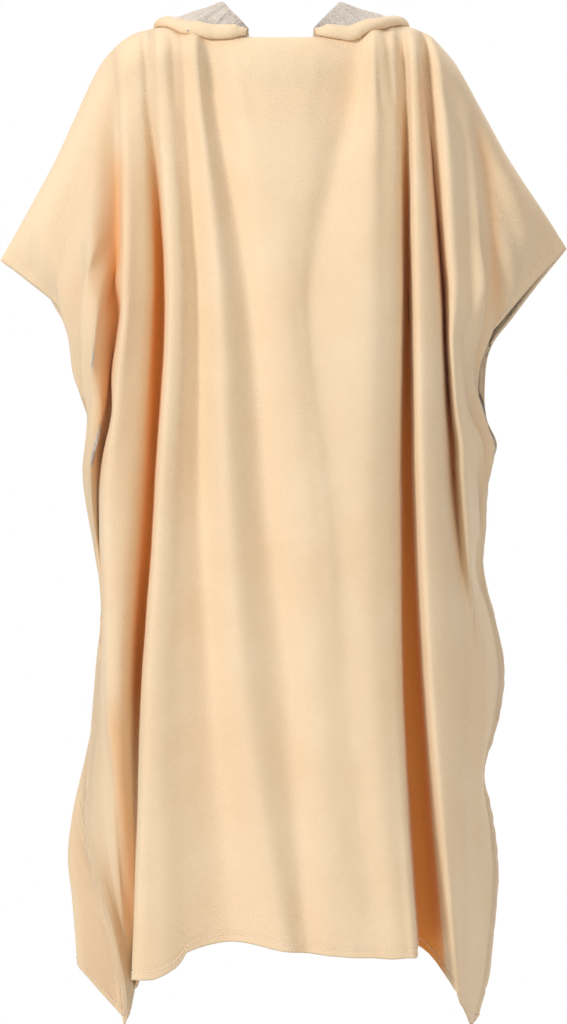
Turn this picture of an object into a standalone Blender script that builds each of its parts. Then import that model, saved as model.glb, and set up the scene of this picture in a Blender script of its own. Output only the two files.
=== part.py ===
"""Hooded bath poncho, in the hollow form it takes when it is worn with the arms down.

Two towelling panels meet along the shoulders and, below the arm slits, along the sides. A hood of two
halves is sewn round the wide neck opening and lies thrown back, its face edge turned out like a collar.

Metres, +Z up. The front faces -Y and the wearer's right arm is at -X. The origin is the middle of the
neck opening, on the height of the shoulder line, where the wearer holds the garment up.

Each panel is a sheet that is lofted across a few threads of its cloth. A thread starts on the shoulder
line and runs down to the hem. Its row says where it is at four levels and at its foot.
"""

import math
from collections import namedtuple

import bmesh
import bpy
from mathutils import Vector
from mathutils.bvhtree import BVHTree

MM = 0.001

# The cloth and its seams.
WALL = 0.002
HEM_WALL = 0.0014
HEM_GAP = 0.0018
SHOULDER_GAP = 0.0012
CROWN_GAP = 0.0014
SIDE_GAP = 0.0006
HEM_DEPTH = 0.011
RIM_DEPTH = 0.014

# The neck opening, seen from above, and the rounding of the cloth over the shoulders.
NECK_EDGE = 0.0375
NECK_HALF_WIDTH = 0.115
NECK_HALF_DEPTH = 0.072
NECK_HEIGHT = -0.008
SHOULDER_ROLL = 0.050

# The slits that the arms come out of.
SLIT_FOOT = 0.505
SLIT_OPEN = 0.017
GAPE_ROUNDNESS = 0.8
SLIT_BACK_OUT_LEFT = 0.007
SLIT_BACK_OUT_RIGHT = 0.012
SLIT_HEM_END = 0.055

# The hood: how far it stands off the panels that it lies on, its roll, and the bag behind the back.
HOOD_SEAM_RISE = 0.0024
HOOD_REST = 0.0065
BACK_REST = 0.0110
LEAST_REST = 0.0040
HOOD_HEM_GAP = 0.0040
ROLL_CROWN = 0.006
BAG_DEPTH = 0.250
BAG_FULL = 0.032

# How finely the sheets are divided, and the smoothing of the hood over what it lies on.
ROLL_ROWS = 3
PANEL_ROWS = 15
PANEL_LENGTH = 1.06
FRONT_PITCH = 0.034
BACK_PITCH = 0.048
NARROWEST_STRIP = 0.006
CLEAR_OF_HEM = 0.0176
NECK_SLACK = 0.001
SAMPLES = (0.1, 0.3, 0.5, 0.7, 0.9)
HOOD_STATIONS = 18
RISE_ROWS = 3
FALL_ROWS = 11
CURVE_STEPS = 48
MOST_RIM = 0.45
SETTLE_ROUNDS = 12
LIFT_ROUNDS = 6

# The levels of a thread's row, as depths below the neck. Its foot is at its own drop.
LEVELS = (0.072, 0.312, 0.552, 0.792)

# Where the panels fold over the shoulders and arms: (out from the middle, height), in millimetres.
ShoulderPoint = namedtuple("ShoulderPoint", "out height")
SHOULDER_LEFT = (
    ShoulderPoint(115, 13),
    ShoulderPoint(145, 12),
    ShoulderPoint(175, 5),
    ShoulderPoint(197, -10),
    ShoulderPoint(218, -35),
    ShoulderPoint(247, -96),
    ShoulderPoint(269, -144),
    ShoulderPoint(308, -216),
    ShoulderPoint(336, -265),
)
SHOULDER_RIGHT = (
    ShoulderPoint(115, 15),
    ShoulderPoint(145, 14),
    ShoulderPoint(173, 5),
    ShoulderPoint(190, -10),
    ShoulderPoint(207, -30),
    ShoulderPoint(245, -96),
    ShoulderPoint(272, -144),
    ShoulderPoint(320, -216),
    ShoulderPoint(342, -251),
)

# The sides, from the sleeve's tip past the foot of the slit to the corner of the hem, in millimetres:
# depth below the neck, distance out from the middle, and distance forward of the shoulder line.
SidePoint = namedtuple("SidePoint", "depth out forward")
SIDE_LEFT = (
    SidePoint(265, 336, 0),
    SidePoint(284, 310, 0),
    SidePoint(323, 264, 2),
    SidePoint(360, 253, 6),
    SidePoint(407, 246, 8),
    SidePoint(455, 226, 12),
    SidePoint(509, 236, 6),
    SidePoint(599, 224, -4),
    SidePoint(671, 213, 4),
    SidePoint(744, 220, 10),
    SidePoint(850, 229, 2),
    SidePoint(925, 234, 0),
    SidePoint(985, 229, 6),
    SidePoint(1036, 214, 12),
    SidePoint(1080, 202, 14),
    SidePoint(1127, 192, 12),
    SidePoint(1172, 188, 10),
)
SIDE_RIGHT = (
    SidePoint(251, 342, 0),
    SidePoint(289, 305, 4),
    SidePoint(332, 268, 10),
    SidePoint(370, 239, 14),
    SidePoint(420, 234, 10),
    SidePoint(456, 240, 4),
    SidePoint(487, 256, 0),
    SidePoint(520, 248, -2),
    SidePoint(592, 244, 4),
    SidePoint(630, 239, 8),
    SidePoint(685, 253, 4),
    SidePoint(750, 267, -4),
    SidePoint(814, 260, 0),
    SidePoint(876, 242, 8),
    SidePoint(935, 252, 6),
    SidePoint(1000, 258, 0),
    SidePoint(1080, 252, -4),
    SidePoint(1132, 245, 0),
    SidePoint(1182, 229, 2),
)

# The threads of each panel from the left side to the right, in millimetres. x_... is across, and
# out_... is how far the cloth stands from the shoulder line, forward in front and back behind.
# A thread next to a side follows that side's waves: SWAY is its share, from the side inwards.
Thread = namedtuple(
    "Thread",
    "name top x_yoke x_chest x_waist x_thigh x_foot out_yoke out_chest out_waist out_thigh out_foot drop",
)
FRONT = (
    Thread("sleeve_outer", -301, None, -252, -230, -221, -184, None, 46, 26, 12, 0, 1162),
    Thread("sleeve_inner", -247, -233, -225, -224, -217, -181, 42, 74, 46, 28, -5, 1154),
    Thread("arm_valley", -206, -198, -195, -216, -212, -180, 60, 48, 36, 42, -14, 1148),
    Thread("arm_ridge", -193, -186, -183, -205, -203, -179, 80, 112, 94, 80, -23, 1142),
    Thread("arm_soft", -178, -172, -169, -186, -190, -178, 84, 105, 94, 84, -30, 1136),
    Thread("left_lip", -170, -164, -154, -168, -180, -176, 85, 92, 82, 72, -26, 1130),
    Thread("left_floor", -164, -158, -146, -158, -173, -174, 82, 74, 64, 52, -14, 1124),
    Thread("left_valley", -159, -153, -139, -151, -167, -172, 82, 70, 60, 48, 6, 1118),
    Thread("left_ridge", -150, -143, -129, -142, -157, -171, 92, 125, 122, 122, 122, 1101),
    Thread("left_crest", -141, -134, -118, -129, -140, -145, 94, 125, 122, 124, 128, 1099),
    Thread("left_slope", -129, -122, -108, -112, -112, -104, 89, 115, 110, 111, 110, 1078),
    Thread("left_hollow", -118, -112, -97, -93, -80, -57, 86, 108, 102, 100, 99, 1069),
    Thread("chest_ridge", -103, -96, -71, -61, -42, 3, 99, 135, 132, 132, 130, 1077),
    Thread("neck_crease", -86, -80, -39, -20, 5, 31, 85, 116, 113, 117, 119, 1080),
    Thread("neck_corner", -37, -44, -14, 8, 32, 56, 97, 130, 129, 131, 130, 1082),
    Thread("middle", 0, -2, 6, 28, 48, 72, 99, 133, 134, 135, 133, 1083),
    Thread("neck_corner_r", 37, 40, 23, 46, 64, 88, 97, 130, 133, 134, 134, 1084),
    Thread("neck_crease_r", 88, 83, 41, 64, 80, 106, 85, 126, 131, 133, 135, 1084),
    Thread("chest_ridge_r", 109, 109, 100, 100, 108, 130, 103, 136, 135, 136, 137, 1085),
    Thread("right_soft", 120, 121, 121, 121, 126, 146, 97, 129, 127, 130, 134, 1084),
    Thread("right_lip", 131, 133, 136, 134, 138, 157, 92, 118, 116, 121, 130, 1084),
    Thread("right_floor", 137, 141, 144, 142, 146, 165, 84, 84, 76, 72, 52, 1080),
    Thread("right_valley", 142, 147, 151, 153, 163, 184, 81, 74, 68, 64, 44, 1100),
    Thread("right_ridge", 150, 154, 158, 163, 175, 206, 97, 122, 120, 122, 92, 1128),
    Thread("right_crest", 156, 160, 169, 174, 187, 211, 97, 120, 117, 118, 86, 1140),
    Thread("side_soft", 162, 166, 182, 190, 204, 215, 88, 107, 101, 104, 72, 1148),
    Thread("side_valley", 167, 172, 192, 206, 223, 219, 78, 64, 56, 86, 58, 1156),
    Thread("side_ridge", 178, 190, 200, 215, 240, 222, 91, 106, 84, 62, 42, 1164),
    Thread("side_fold", 198, 210, 222, 228, 251, 225, 72, 92, 56, 34, 26, 1174),
    Thread("sleeve_inner_r", 216, 222, 239, 235, 257, 227, 62, 82, 32, 15, 12, 1178),
    Thread("sleeve_outer_r", 299, None, 270, 242, 261, 228, None, 46, 14, 5, 5, 1180),
)
BACK = (
    Thread("flap", -316, None, -266, -235, -222, -241, None, 26, 16, 14, 3, 1110),
    Thread("arm", -262, -240, -240, -224, -214, -226, 34, 64, 54, 48, 62, 1120),
    Thread("arm_valley", -212, -205, -197, -191, -185, -186, 56, 60, 50, 60, 88, 1134),
    Thread("side_ridge", -190, -186, -176, -167, -158, -152, 72, 110, 108, 110, 118, 1106),
    Thread("side_soft", -150, -146, -136, -127, -118, -112, 84, 118, 113, 115, 118, 1086),
    Thread("swell", -108, -104, -98, -91, -80, -70, 92, 125, 123, 127, 131, 1084),
    Thread("hollow", -62, -60, -54, -50, -44, -34, 96, 124, 116, 115, 114, 1080),
    Thread("neck_corner", -37, -36, -32, -30, -23, -14, 98, 125, 119, 119, 120, 1079),
    Thread("middle", 2, 0, -2, 0, 8, 16, 99, 128, 127, 129, 133, 1078),
    Thread("neck_corner_r", 37, 36, 31, 32, 38, 46, 98, 125, 121, 120, 119, 1079),
    Thread("hollow_r", 62, 60, 55, 55, 59, 67, 96, 124, 118, 116, 112, 1080),
    Thread("swell_r", 106, 103, 97, 97, 102, 110, 92, 126, 125, 129, 132, 1085),
    Thread("side_soft_r", 148, 145, 140, 140, 148, 156, 84, 116, 110, 110, 112, 1092),
    Thread("side_ridge_r", 184, 182, 180, 184, 194, 192, 72, 108, 106, 108, 100, 1106),
    Thread("arm_valley_r", 206, 202, 206, 212, 226, 214, 54, 58, 52, 52, 60, 1128),
    Thread("arm_r", 262, 236, 246, 240, 250, 228, 32, 62, 42, 26, 30, 1156),
    Thread("side_r", 318, None, 276, 246, 264, 233, None, 26, 14, 8, 6, 1176),
)

# The hood's half from the front corner of the neck round to the middle of the back, in millimetres.
# The cloth rises from the neck to the roll, turns out over it, and ends at its face edge.
HoodRow = namedtuple("HoodRow", "roll_x roll_y roll_z edge_x edge_y edge_z bag")
HOOD = (
    HoodRow(39, -73, 1, 42, -79, -6, 0.00),
    HoodRow(48, -68, 13, 64, -84, -8, 0.00),
    HoodRow(60, -50, 28, 90, -80, -8, 0.00),
    HoodRow(67, -26, 39, 114, -66, -4, 0.00),
    HoodRow(69, -2, 44, 134, -38, 6, 0.00),
    HoodRow(68, 18, 43, 148, 4, 19, 0.00),
    HoodRow(60, 42, 39, 151, 52, 9, 0.00),
    HoodRow(48, 60, 34, 138, 100, -14, 0.28),
    HoodRow(28, 73, 29, 88, 148, -42, 0.76),
    HoodRow(0, 80, 24, 0, 172, -60, 1.00),
)

SWAY = (1.0, 0.8, 0.4, 0.15, 0.05)

APRICOT = (0.79, 0.57, 0.35, 1.0)
APRICOT_SHADE = (0.72, 0.50, 0.29, 1.0)
PILE = (0.80, 0.72, 0.62, 1.0)
CLOTH_ROUGHNESS = 0.92


def between(knots, values, at):
    """The smooth curve through the values at the knots, read at one place; it holds its end values."""
    if at <= knots[0]:
        return values[0]
    if at >= knots[-1]:
        return values[-1]
    i = max(k for k in range(len(knots) - 1) if knots[k] <= at)
    span = knots[i + 1] - knots[i]
    share = (at - knots[i]) / span

    def slope(k):
        low = max(k - 1, 0)
        high = min(k + 1, len(knots) - 1)
        return (values[high] - values[low]) / (knots[high] - knots[low])

    square = share * share
    cube = square * share
    return (
        values[i] * (2 * cube - 3 * square + 1)
        + slope(i) * (span * (cube - 2 * square + share))
        + values[i + 1] * (3 * square - 2 * cube)
        + slope(i + 1) * (span * (cube - square))
    )


def shoulder_point(x):
    """The point of the shoulder line or neck opening at a distance across, with its forward share."""
    out = abs(x)
    table = SHOULDER_LEFT if x < 0 else SHOULDER_RIGHT
    if out >= NECK_HALF_WIDTH:
        outs = [p.out * MM for p in table]
        heights = [p.height * MM for p in table]
        return 0.0, between(outs, heights, out)
    shoulder_height = table[0].height * MM
    if out <= NECK_EDGE:
        return NECK_HALF_DEPTH, NECK_HEIGHT
    turn = (out - NECK_EDGE) / (NECK_HALF_WIDTH - NECK_EDGE)
    forward = NECK_HALF_DEPTH * math.sqrt(1 - turn * turn)
    return forward, NECK_HEIGHT + (shoulder_height - NECK_HEIGHT) * turn


def rolled(depth):
    """How far the cloth has come forward over the shoulder at a depth below its top, from 0 to 1."""
    left = 1 - min(depth / SHOULDER_ROLL, 1.0)
    return math.sqrt(1 - left * left)


class ThreadLine:
    """One thread of a panel: its place at a share of the way from the shoulder line to the hem."""

    def __init__(self, row, way, beside, sway):
        self.way = way
        self.beside = beside
        self.sway = sway
        self.x_top = row.top * MM
        self.out_top, self.z_top = shoulder_point(self.x_top)
        self.z_foot = -row.drop * MM
        across = (row.x_yoke, row.x_chest, row.x_waist, row.x_thigh)
        out = (row.out_yoke, row.out_chest, row.out_waist, row.out_thigh)
        met = [i for i, x in enumerate(across) if x is not None]
        depths = [LEVELS[i] for i in met] + [-self.z_foot]
        outs = [out[i] * MM for i in met] + [row.out_foot * MM]
        self.across_knots = [-self.z_top] + depths
        self.across = [self.x_top] + [across[i] * MM for i in met] + [row.x_foot * MM]
        self.out_knots = depths
        self.outs = outs

    def at(self, share):
        z = self.z_top + share * (self.z_foot - self.z_top)
        x = between(self.across_knots, self.across, -z)
        out = between(self.out_knots, self.outs, -z)
        roll = rolled(self.z_top - z)
        out = self.out_top + (out - self.out_top) * roll
        x += self.sway * self.beside.wave(-z)
        drift = self.sway * self.beside.forward(-z) * roll
        return Vector((x, self.way * (out + SHOULDER_GAP / 2 * (1 - roll)) - drift, z))


class SideLine:
    """The side of a panel, from the sleeve's tip along the slit and the side seam to the corner."""

    def __init__(self, rows, side, way):
        self.side = side
        self.way = way
        self.depths = [p.depth * MM for p in rows]
        self.outs = [p.out * MM for p in rows]
        self.forwards = [p.forward * MM for p in rows]
        self.calm_depths = [self.depths[0], *LEVELS[1:], self.depths[-1]]
        self.calm_outs = [between(self.depths, self.outs, d) for d in self.calm_depths]

    def wave(self, depth):
        """How far across the side stands from its calm line at a depth."""
        calm = between(self.calm_depths, self.calm_outs, depth)
        return self.side * (between(self.depths, self.outs, depth) - calm)

    def forward(self, depth):
        """How far forward of the shoulder line the side is at a depth."""
        return between(self.depths, self.forwards, depth)

    def at(self, share):
        depth = self.depths[0] + share * (self.depths[-1] - self.depths[0])
        down_slit = min((depth - self.depths[0]) / (SLIT_FOOT - self.depths[0]), 1.0)
        gape = math.sin(math.pi * down_slit) ** GAPE_ROUNDNESS if down_slit < 1 else 0.0
        x = between(self.depths, self.outs, depth)
        y = -self.forward(depth)
        y += self.way * ((WALL + SIDE_GAP) / 2 + SLIT_OPEN * gape)
        if self.way > 0:
            x += gape * (SLIT_BACK_OUT_RIGHT if self.side > 0 else SLIT_BACK_OUT_LEFT)
        return Vector((self.side * x, y, -depth))


def panel_lines(threads, way):
    """The lines that a panel is lofted across, from its left side to its right."""
    left = SideLine(SIDE_LEFT, -1, way)
    right = SideLine(SIDE_RIGHT, 1, way)
    inner = []
    for i, row in enumerate(threads):
        steps_in = min(i, len(threads) - 1 - i)
        sway = SWAY[steps_in] if steps_in < len(SWAY) else 0.0
        inner.append(ThreadLine(row, way, left if row.top < 0 else right, sway))
    return [left, *inner, right]


def row_shares():
    """The panels' rows, close together over the shoulder and at the hem."""
    turns = [math.pi / 2 * i / ROLL_ROWS for i in range(ROLL_ROWS)]
    shares = [SHOULDER_ROLL * (1 - math.cos(turn)) / PANEL_LENGTH for turn in turns]
    start = SHOULDER_ROLL / PANEL_LENGTH
    end = 1 - HEM_DEPTH / PANEL_LENGTH
    shares += [start + (end - start) * i / PANEL_ROWS for i in range(PANEL_ROWS + 1)]
    return shares + [1.0]


def cut_places(lines):
    """Where each line lies on the cut cloth: the mean length across, summed from the left."""
    places = [0.0]
    for left, right in zip(lines, lines[1:]):
        reach = sum((right.at(s) - left.at(s)).length for s in SAMPLES) / len(SAMPLES)
        places.append(places[-1] + max(reach, NARROWEST_STRIP))
    return places


def panel_points(lines, pitch):
    """The panel's rows of points, each from the left side to the right."""
    places = cut_places(lines)
    columns = [0.0, HEM_DEPTH]
    for start, end in zip(places, places[1:]):
        steps = max(1, round((end - start) / pitch))
        inner = [start + (end - start) * i / steps for i in range(1, steps + 1)]
        columns += [c for c in inner if CLEAR_OF_HEM < c < places[-1] - CLEAR_OF_HEM]
    columns += [places[-1] - HEM_DEPTH, places[-1]]
    rows = []
    for share in row_shares():
        met = [line.at(share) for line in lines]
        rows.append([between(places, met, column) for column in columns])
    return rows


def sheet_object(name, rows, flip, wall, material):
    """A sheet of cloth through rows of points, with its wall built evenly to both sides."""
    mesh = bpy.data.meshes.new(name)
    bm = bmesh.new()
    across = len(rows[0])
    bmesh.ops.create_grid(bm, x_segments=across - 1, y_segments=len(rows) - 1, size=1.0)
    bm.verts.ensure_lookup_table()
    for i, vert in enumerate(bm.verts):
        vert.co = rows[i // across][i % across]
    if flip:
        bmesh.ops.reverse_faces(bm, faces=bm.faces)
    bm.to_mesh(mesh)
    bm.free()
    mesh.materials.append(material)
    mesh.shade_smooth()
    obj = bpy.data.objects.new(name, mesh)
    bpy.context.scene.collection.children["poncho"].objects.link(obj)
    solid = obj.modifiers.new("wall", "SOLIDIFY")
    solid.thickness = wall
    solid.offset = 0.0
    return obj


def facing(obj, across):
    """The unit normals of a sheet's points, in its rows."""
    normals = [v.normal.copy() for v in obj.data.vertices]
    return [normals[i : i + across] for i in range(0, len(normals), across)]


def moved_out(rows, normals, distance):
    """Rows of points moved along their normals."""
    return [[p + n * distance for p, n in zip(row, way)] for row, way in zip(rows, normals)]


def block(rows, row_range, column_range):
    """Part of a sheet's rows of points."""
    return [[rows[r][c] for c in column_range] for r in row_range]


def add_hems(name, panel, rows, way, material):
    """The turned edges of a panel: its hem and its two slits, laid on its inner side."""
    across = len(rows[0])
    flip = way < 0
    inward = -((WALL + HEM_WALL) / 2 + HEM_GAP)
    inner = moved_out(rows, facing(panel, across), inward)
    last = len(rows) - 1
    neck = [c for c in range(across) if abs(rows[0][c].x) < NECK_EDGE + NECK_SLACK]
    if way < 0:
        sheet_object(f"{name}_neck_hem", block(inner, (0, 1), neck), flip, HEM_WALL, material)
    bottom = block(inner, (last - 1, last), range(2, across - 2))
    sheet_object(f"{name}_hem", bottom, flip, HEM_WALL, material)
    slit_rows = [r for r in range(1, last) if rows[r][0].z > SLIT_HEM_END - SLIT_FOOT]
    left = block(inner, slit_rows, (0, 1))
    right = block(inner, slit_rows, (across - 2, across - 1))
    sheet_object(f"{name}_slit_hem_left", left, flip, HEM_WALL, material)
    sheet_object(f"{name}_slit_hem_right", right, flip, HEM_WALL, material)


def spaced(points, distances):
    """Points at given distances along a line of points."""
    run = [0.0]
    for a, b in zip(points, points[1:]):
        run.append(run[-1] + (b - a).length)
    found = []
    for distance in distances:
        i = max(k for k in range(len(run) - 1) if run[k] <= max(distance, 0.0))
        found.append(points[i].lerp(points[i + 1], (distance - run[i]) / (run[i + 1] - run[i])))
    return found


def face_tree(sheets):
    """A search tree of the sheets' middle surfaces, whose normals point out."""
    bm = bmesh.new()
    for obj in sheets:
        bm.from_mesh(obj.data)
    tree = BVHTree.FromBMesh(bm)
    bm.free()
    return tree


def clear_of(point, tree):
    """The point, moved off the panel that it would touch or lie in."""
    place, outward, _, _ = tree.find_nearest(point)
    rest = HOOD_REST if point.y < 0 else BACK_REST
    height = (point - place).dot(outward)
    return point if height > rest else place + outward * rest


def back_of(point, tree):
    """How far behind the shoulder line a point clears the panels at its place across and height."""
    hit = tree.ray_cast(Vector((point.x, 1.0, point.z)), Vector((0, -1, 0)))[0]
    return point.y if hit is None else hit.y + BACK_REST


def settled(curve, tree):
    """A line of points drawn smooth over what it lies on, with its ends left where they are."""
    for _ in range(SETTLE_ROUNDS):
        middle = [(a + b * 2 + c) / 4 for a, b, c in zip(curve, curve[1:], curve[2:])]
        curve = [curve[0]] + [clear_of(p, tree) for p in middle] + [clear_of(curve[-1], tree)]
    return curve


def lifted(rows, tree):
    """The hood's rows, raised where a face between its points would touch the panels under it."""
    for _ in range(LIFT_ROUNDS):
        for a, b in zip(rows, rows[1:]):
            for k in range(RISE_ROWS, len(a) - 1):
                corners = ((a, k), (a, k + 1), (b, k + 1), (b, k))
                for first, second in ((0, 1), (1, 2), (2, 3), (3, 0), (0, 2), (1, 3)):
                    row, i = corners[first]
                    other, j = corners[second]
                    middle = (row[i] + other[j]) / 2
                    place, outward, _, _ = tree.find_nearest(middle)
                    short = LEAST_REST - (middle - place).dot(outward)
                    if short > 0:
                        row[i] = row[i] + outward * short
                        other[j] = other[j] + outward * short
    return rows


def hood_points(side, tree):
    """The rows of points of the hood's half, each from the neck seam over the roll to the face edge."""
    knots = [i / (len(HOOD) - 1) for i in range(len(HOOD))]
    rolls = [Vector((side * r.roll_x, r.roll_y, r.roll_z)) * MM for r in HOOD]
    edges = [Vector((side * r.edge_x, r.edge_y, r.edge_z)) * MM for r in HOOD]
    bags = [r.bag for r in HOOD]
    rows = []
    for i in range(HOOD_STATIONS + 1):
        s = i / HOOD_STATIONS
        roll = between(knots, rolls, s)
        edge = between(knots, edges, s)
        bag = BAG_DEPTH * max(between(knots, bags, s), 0.0)
        turn = math.pi * s
        neck_x = side * NECK_HALF_WIDTH * math.sin(turn)
        if s < 0.5:
            neck_x = side * (NECK_EDGE + (NECK_HALF_WIDTH - NECK_EDGE) * math.sin(turn))
        forward, height = shoulder_point(neck_x)
        neck = Vector((neck_x, -forward if s < 0.5 else forward, height + HOOD_SEAM_RISE))
        curve = []
        for k in range(CURVE_STEPS + 1):
            angle = math.pi * k / CURVE_STEPS
            share = (1 - math.cos(angle)) / 2
            point = roll.lerp(edge, share)
            point.z += (ROLL_CROWN - bag) * math.sin(angle)
            if bag > 0:
                point.y = max(point.y, back_of(point, tree) + BAG_FULL * share)
            curve.append(clear_of(point, tree))
        curve = settled(curve, tree)
        length = sum((b - a).length for a, b in zip(curve, curve[1:]))
        flat = length - min(RIM_DEPTH, MOST_RIM * length)
        falls = [flat * k / FALL_ROWS for k in range(FALL_ROWS + 1)]
        rise = [neck.lerp(curve[0], k / RISE_ROWS) for k in range(RISE_ROWS)]
        crown = Vector((side * CROWN_GAP / 2 * s, 0, 0))
        rows.append([p + crown for p in rise + spaced(curve, [*falls, length])])
    return lifted(rows, tree)


def rim_points(rows, normals, side):
    """The rows of points of the hood's turned edge, laid on the pile side and kept off the crown seam."""
    face = moved_out(rows, normals, -(WALL + HEM_WALL) / 2 - HOOD_HEM_GAP)
    last = len(rows[0]) - 1
    strip = block(face, range(1, len(rows)), (last - 1, last))
    for point in strip[-1]:
        point.x = side * CROWN_GAP / 2
    return strip


def cloth_material(name, colour):
    """A plain matt cloth."""
    material = bpy.data.materials.new(name)
    material.use_nodes = True
    shader = material.node_tree.nodes["Principled BSDF"]
    shader.inputs["Base Color"].default_value = colour
    shader.inputs["Roughness"].default_value = CLOTH_ROUGHNESS
    shader.inputs["Metallic"].default_value = 0.0
    return material


def clear_scene():
    for obj in list(bpy.data.objects):
        bpy.data.objects.remove(obj, do_unlink=True)


def main():
    clear_scene()
    collection = bpy.data.collections.new("poncho")
    bpy.context.scene.collection.children.link(collection)
    apricot = cloth_material("apricot_face", APRICOT)
    turned = cloth_material("apricot_hem", APRICOT_SHADE)
    pile = cloth_material("cream_pile", PILE)

    front_rows = panel_points(panel_lines(FRONT, -1), FRONT_PITCH)
    back_rows = panel_points(panel_lines(BACK, 1), BACK_PITCH)
    front = sheet_object("front_panel", front_rows, True, WALL, apricot)
    back = sheet_object("back_panel", back_rows, False, WALL, apricot)
    add_hems("front", front, front_rows, -1, turned)
    add_hems("back", back, back_rows, 1, turned)

    body = face_tree((front, back))
    for name, side in (("left", -1), ("right", 1)):
        rows = hood_points(side, body)
        hood = sheet_object(f"hood_{name}", rows, side > 0, WALL, pile)
        rim = rim_points(rows, facing(hood, len(rows[0])), side)
        sheet_object(f"hood_hem_{name}", rim, side > 0, HEM_WALL, turned)


if __name__ == "__main__":
    main()
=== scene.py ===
"""Hooded bath poncho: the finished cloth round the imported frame.

The poncho hangs in its worn form with nobody in it. Each panel is a sheet that is lofted across threads
of its cloth, as in the frame, and is then given its small creases, puckers and stitched edges. The hood
lies thrown back, with its looped pile side turned out over the shoulders.

Metres, +Z up. The front faces -Y. The cloth's own UV map is in metres too: across and down the cloth.
"""

from __future__ import annotations

import logging
import math
from collections.abc import Callable, Sequence
from dataclasses import dataclass, field
from enum import Enum
from typing import NamedTuple

import bmesh
import bpy
import numpy as np
from mathutils import Matrix, Vector, noise
from mathutils.bvhtree import BVHTree


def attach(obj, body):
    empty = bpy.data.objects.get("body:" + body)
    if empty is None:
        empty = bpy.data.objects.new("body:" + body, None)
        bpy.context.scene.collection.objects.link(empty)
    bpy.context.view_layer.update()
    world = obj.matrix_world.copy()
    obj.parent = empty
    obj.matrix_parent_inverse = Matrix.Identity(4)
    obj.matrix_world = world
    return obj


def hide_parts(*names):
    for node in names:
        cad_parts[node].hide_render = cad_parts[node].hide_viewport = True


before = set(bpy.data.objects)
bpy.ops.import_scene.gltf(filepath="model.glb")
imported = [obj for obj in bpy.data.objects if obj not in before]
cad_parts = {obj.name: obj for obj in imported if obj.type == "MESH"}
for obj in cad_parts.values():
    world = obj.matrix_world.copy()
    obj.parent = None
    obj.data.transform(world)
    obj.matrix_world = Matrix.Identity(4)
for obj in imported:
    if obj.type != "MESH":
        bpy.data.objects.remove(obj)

MM = 0.001
LOG = logging.getLogger("poncho")
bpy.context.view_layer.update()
Colour = tuple[float, float, float]


class Way(Enum):
    """The side of the shoulder line that a panel hangs on."""

    FRONT = -1
    BACK = 1


class Side(Enum):
    """The side of the garment, as its front is seen."""

    LEFT = -1
    RIGHT = 1


# ---------------------------------------------------------------------------------------------------
# The cut and the hang of the cloth, in millimetres.
# ---------------------------------------------------------------------------------------------------


class ShoulderPoint(NamedTuple):
    """A point where the panels fold over the shoulder or the arm, in millimetres."""

    out: float
    height: float


class SidePoint(NamedTuple):
    """A point of a side, in millimetres: how deep below the neck, how far out and how far forward it is."""

    depth: float
    out: float
    forward: float


class Thread(NamedTuple):
    """A thread of a panel, from the shoulder line down to its foot on the hem, in millimetres.

    Its place across (x) and how far it stands out from the shoulder line are given at four levels and at
    the foot. A thread that starts below the yoke has None there.
    """

    name: str
    top: float
    x_yoke: float | None
    x_chest: float
    x_waist: float
    x_thigh: float
    x_foot: float
    out_yoke: float | None
    out_chest: float
    out_waist: float
    out_thigh: float
    out_foot: float
    drop: float


class HoodRow(NamedTuple):
    """A station of half the hood, in millimetres, and its share of the bag's depth.

    It rolls over at the roll point and ends at the edge point, on the face edge.
    """

    roll_x: float
    roll_y: float
    roll_z: float
    edge_x: float
    edge_y: float
    edge_z: float
    bag: float


SHOULDERS = {
    Side.LEFT: (
        ShoulderPoint(115, 13),
        ShoulderPoint(145, 12),
        ShoulderPoint(175, 5),
        ShoulderPoint(197, -10),
        ShoulderPoint(218, -35),
        ShoulderPoint(247, -96),
        ShoulderPoint(269, -144),
        ShoulderPoint(308, -216),
        ShoulderPoint(336, -265),
    ),
    Side.RIGHT: (
        ShoulderPoint(115, 15),
        ShoulderPoint(145, 14),
        ShoulderPoint(173, 5),
        ShoulderPoint(190, -10),
        ShoulderPoint(207, -30),
        ShoulderPoint(245, -96),
        ShoulderPoint(272, -144),
        ShoulderPoint(320, -216),
        ShoulderPoint(342, -251),
    ),
}

SIDES = {
    Side.LEFT: (
        SidePoint(265, 336, 0),
        SidePoint(284, 310, 0),
        SidePoint(323, 264, 2),
        SidePoint(360, 253, 6),
        SidePoint(407, 246, 8),
        SidePoint(455, 226, 12),
        SidePoint(509, 236, 6),
        SidePoint(599, 224, -4),
        SidePoint(671, 213, 4),
        SidePoint(744, 220, 10),
        SidePoint(850, 229, 2),
        SidePoint(925, 234, 0),
        SidePoint(985, 229, 6),
        SidePoint(1036, 214, 12),
        SidePoint(1080, 202, 14),
        SidePoint(1127, 192, 12),
        SidePoint(1172, 188, 10),
    ),
    Side.RIGHT: (
        SidePoint(251, 342, 0),
        SidePoint(289, 305, 4),
        SidePoint(332, 268, 10),
        SidePoint(370, 239, 14),
        SidePoint(420, 234, 10),
        SidePoint(456, 240, 4),
        SidePoint(487, 256, 0),
        SidePoint(520, 248, -2),
        SidePoint(592, 244, 4),
        SidePoint(630, 239, 8),
        SidePoint(685, 253, 4),
        SidePoint(750, 267, -4),
        SidePoint(814, 260, 0),
        SidePoint(876, 242, 8),
        SidePoint(935, 252, 6),
        SidePoint(1000, 258, 0),
        SidePoint(1080, 252, -4),
        SidePoint(1132, 245, 0),
        SidePoint(1182, 229, 2),
    ),
}

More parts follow.
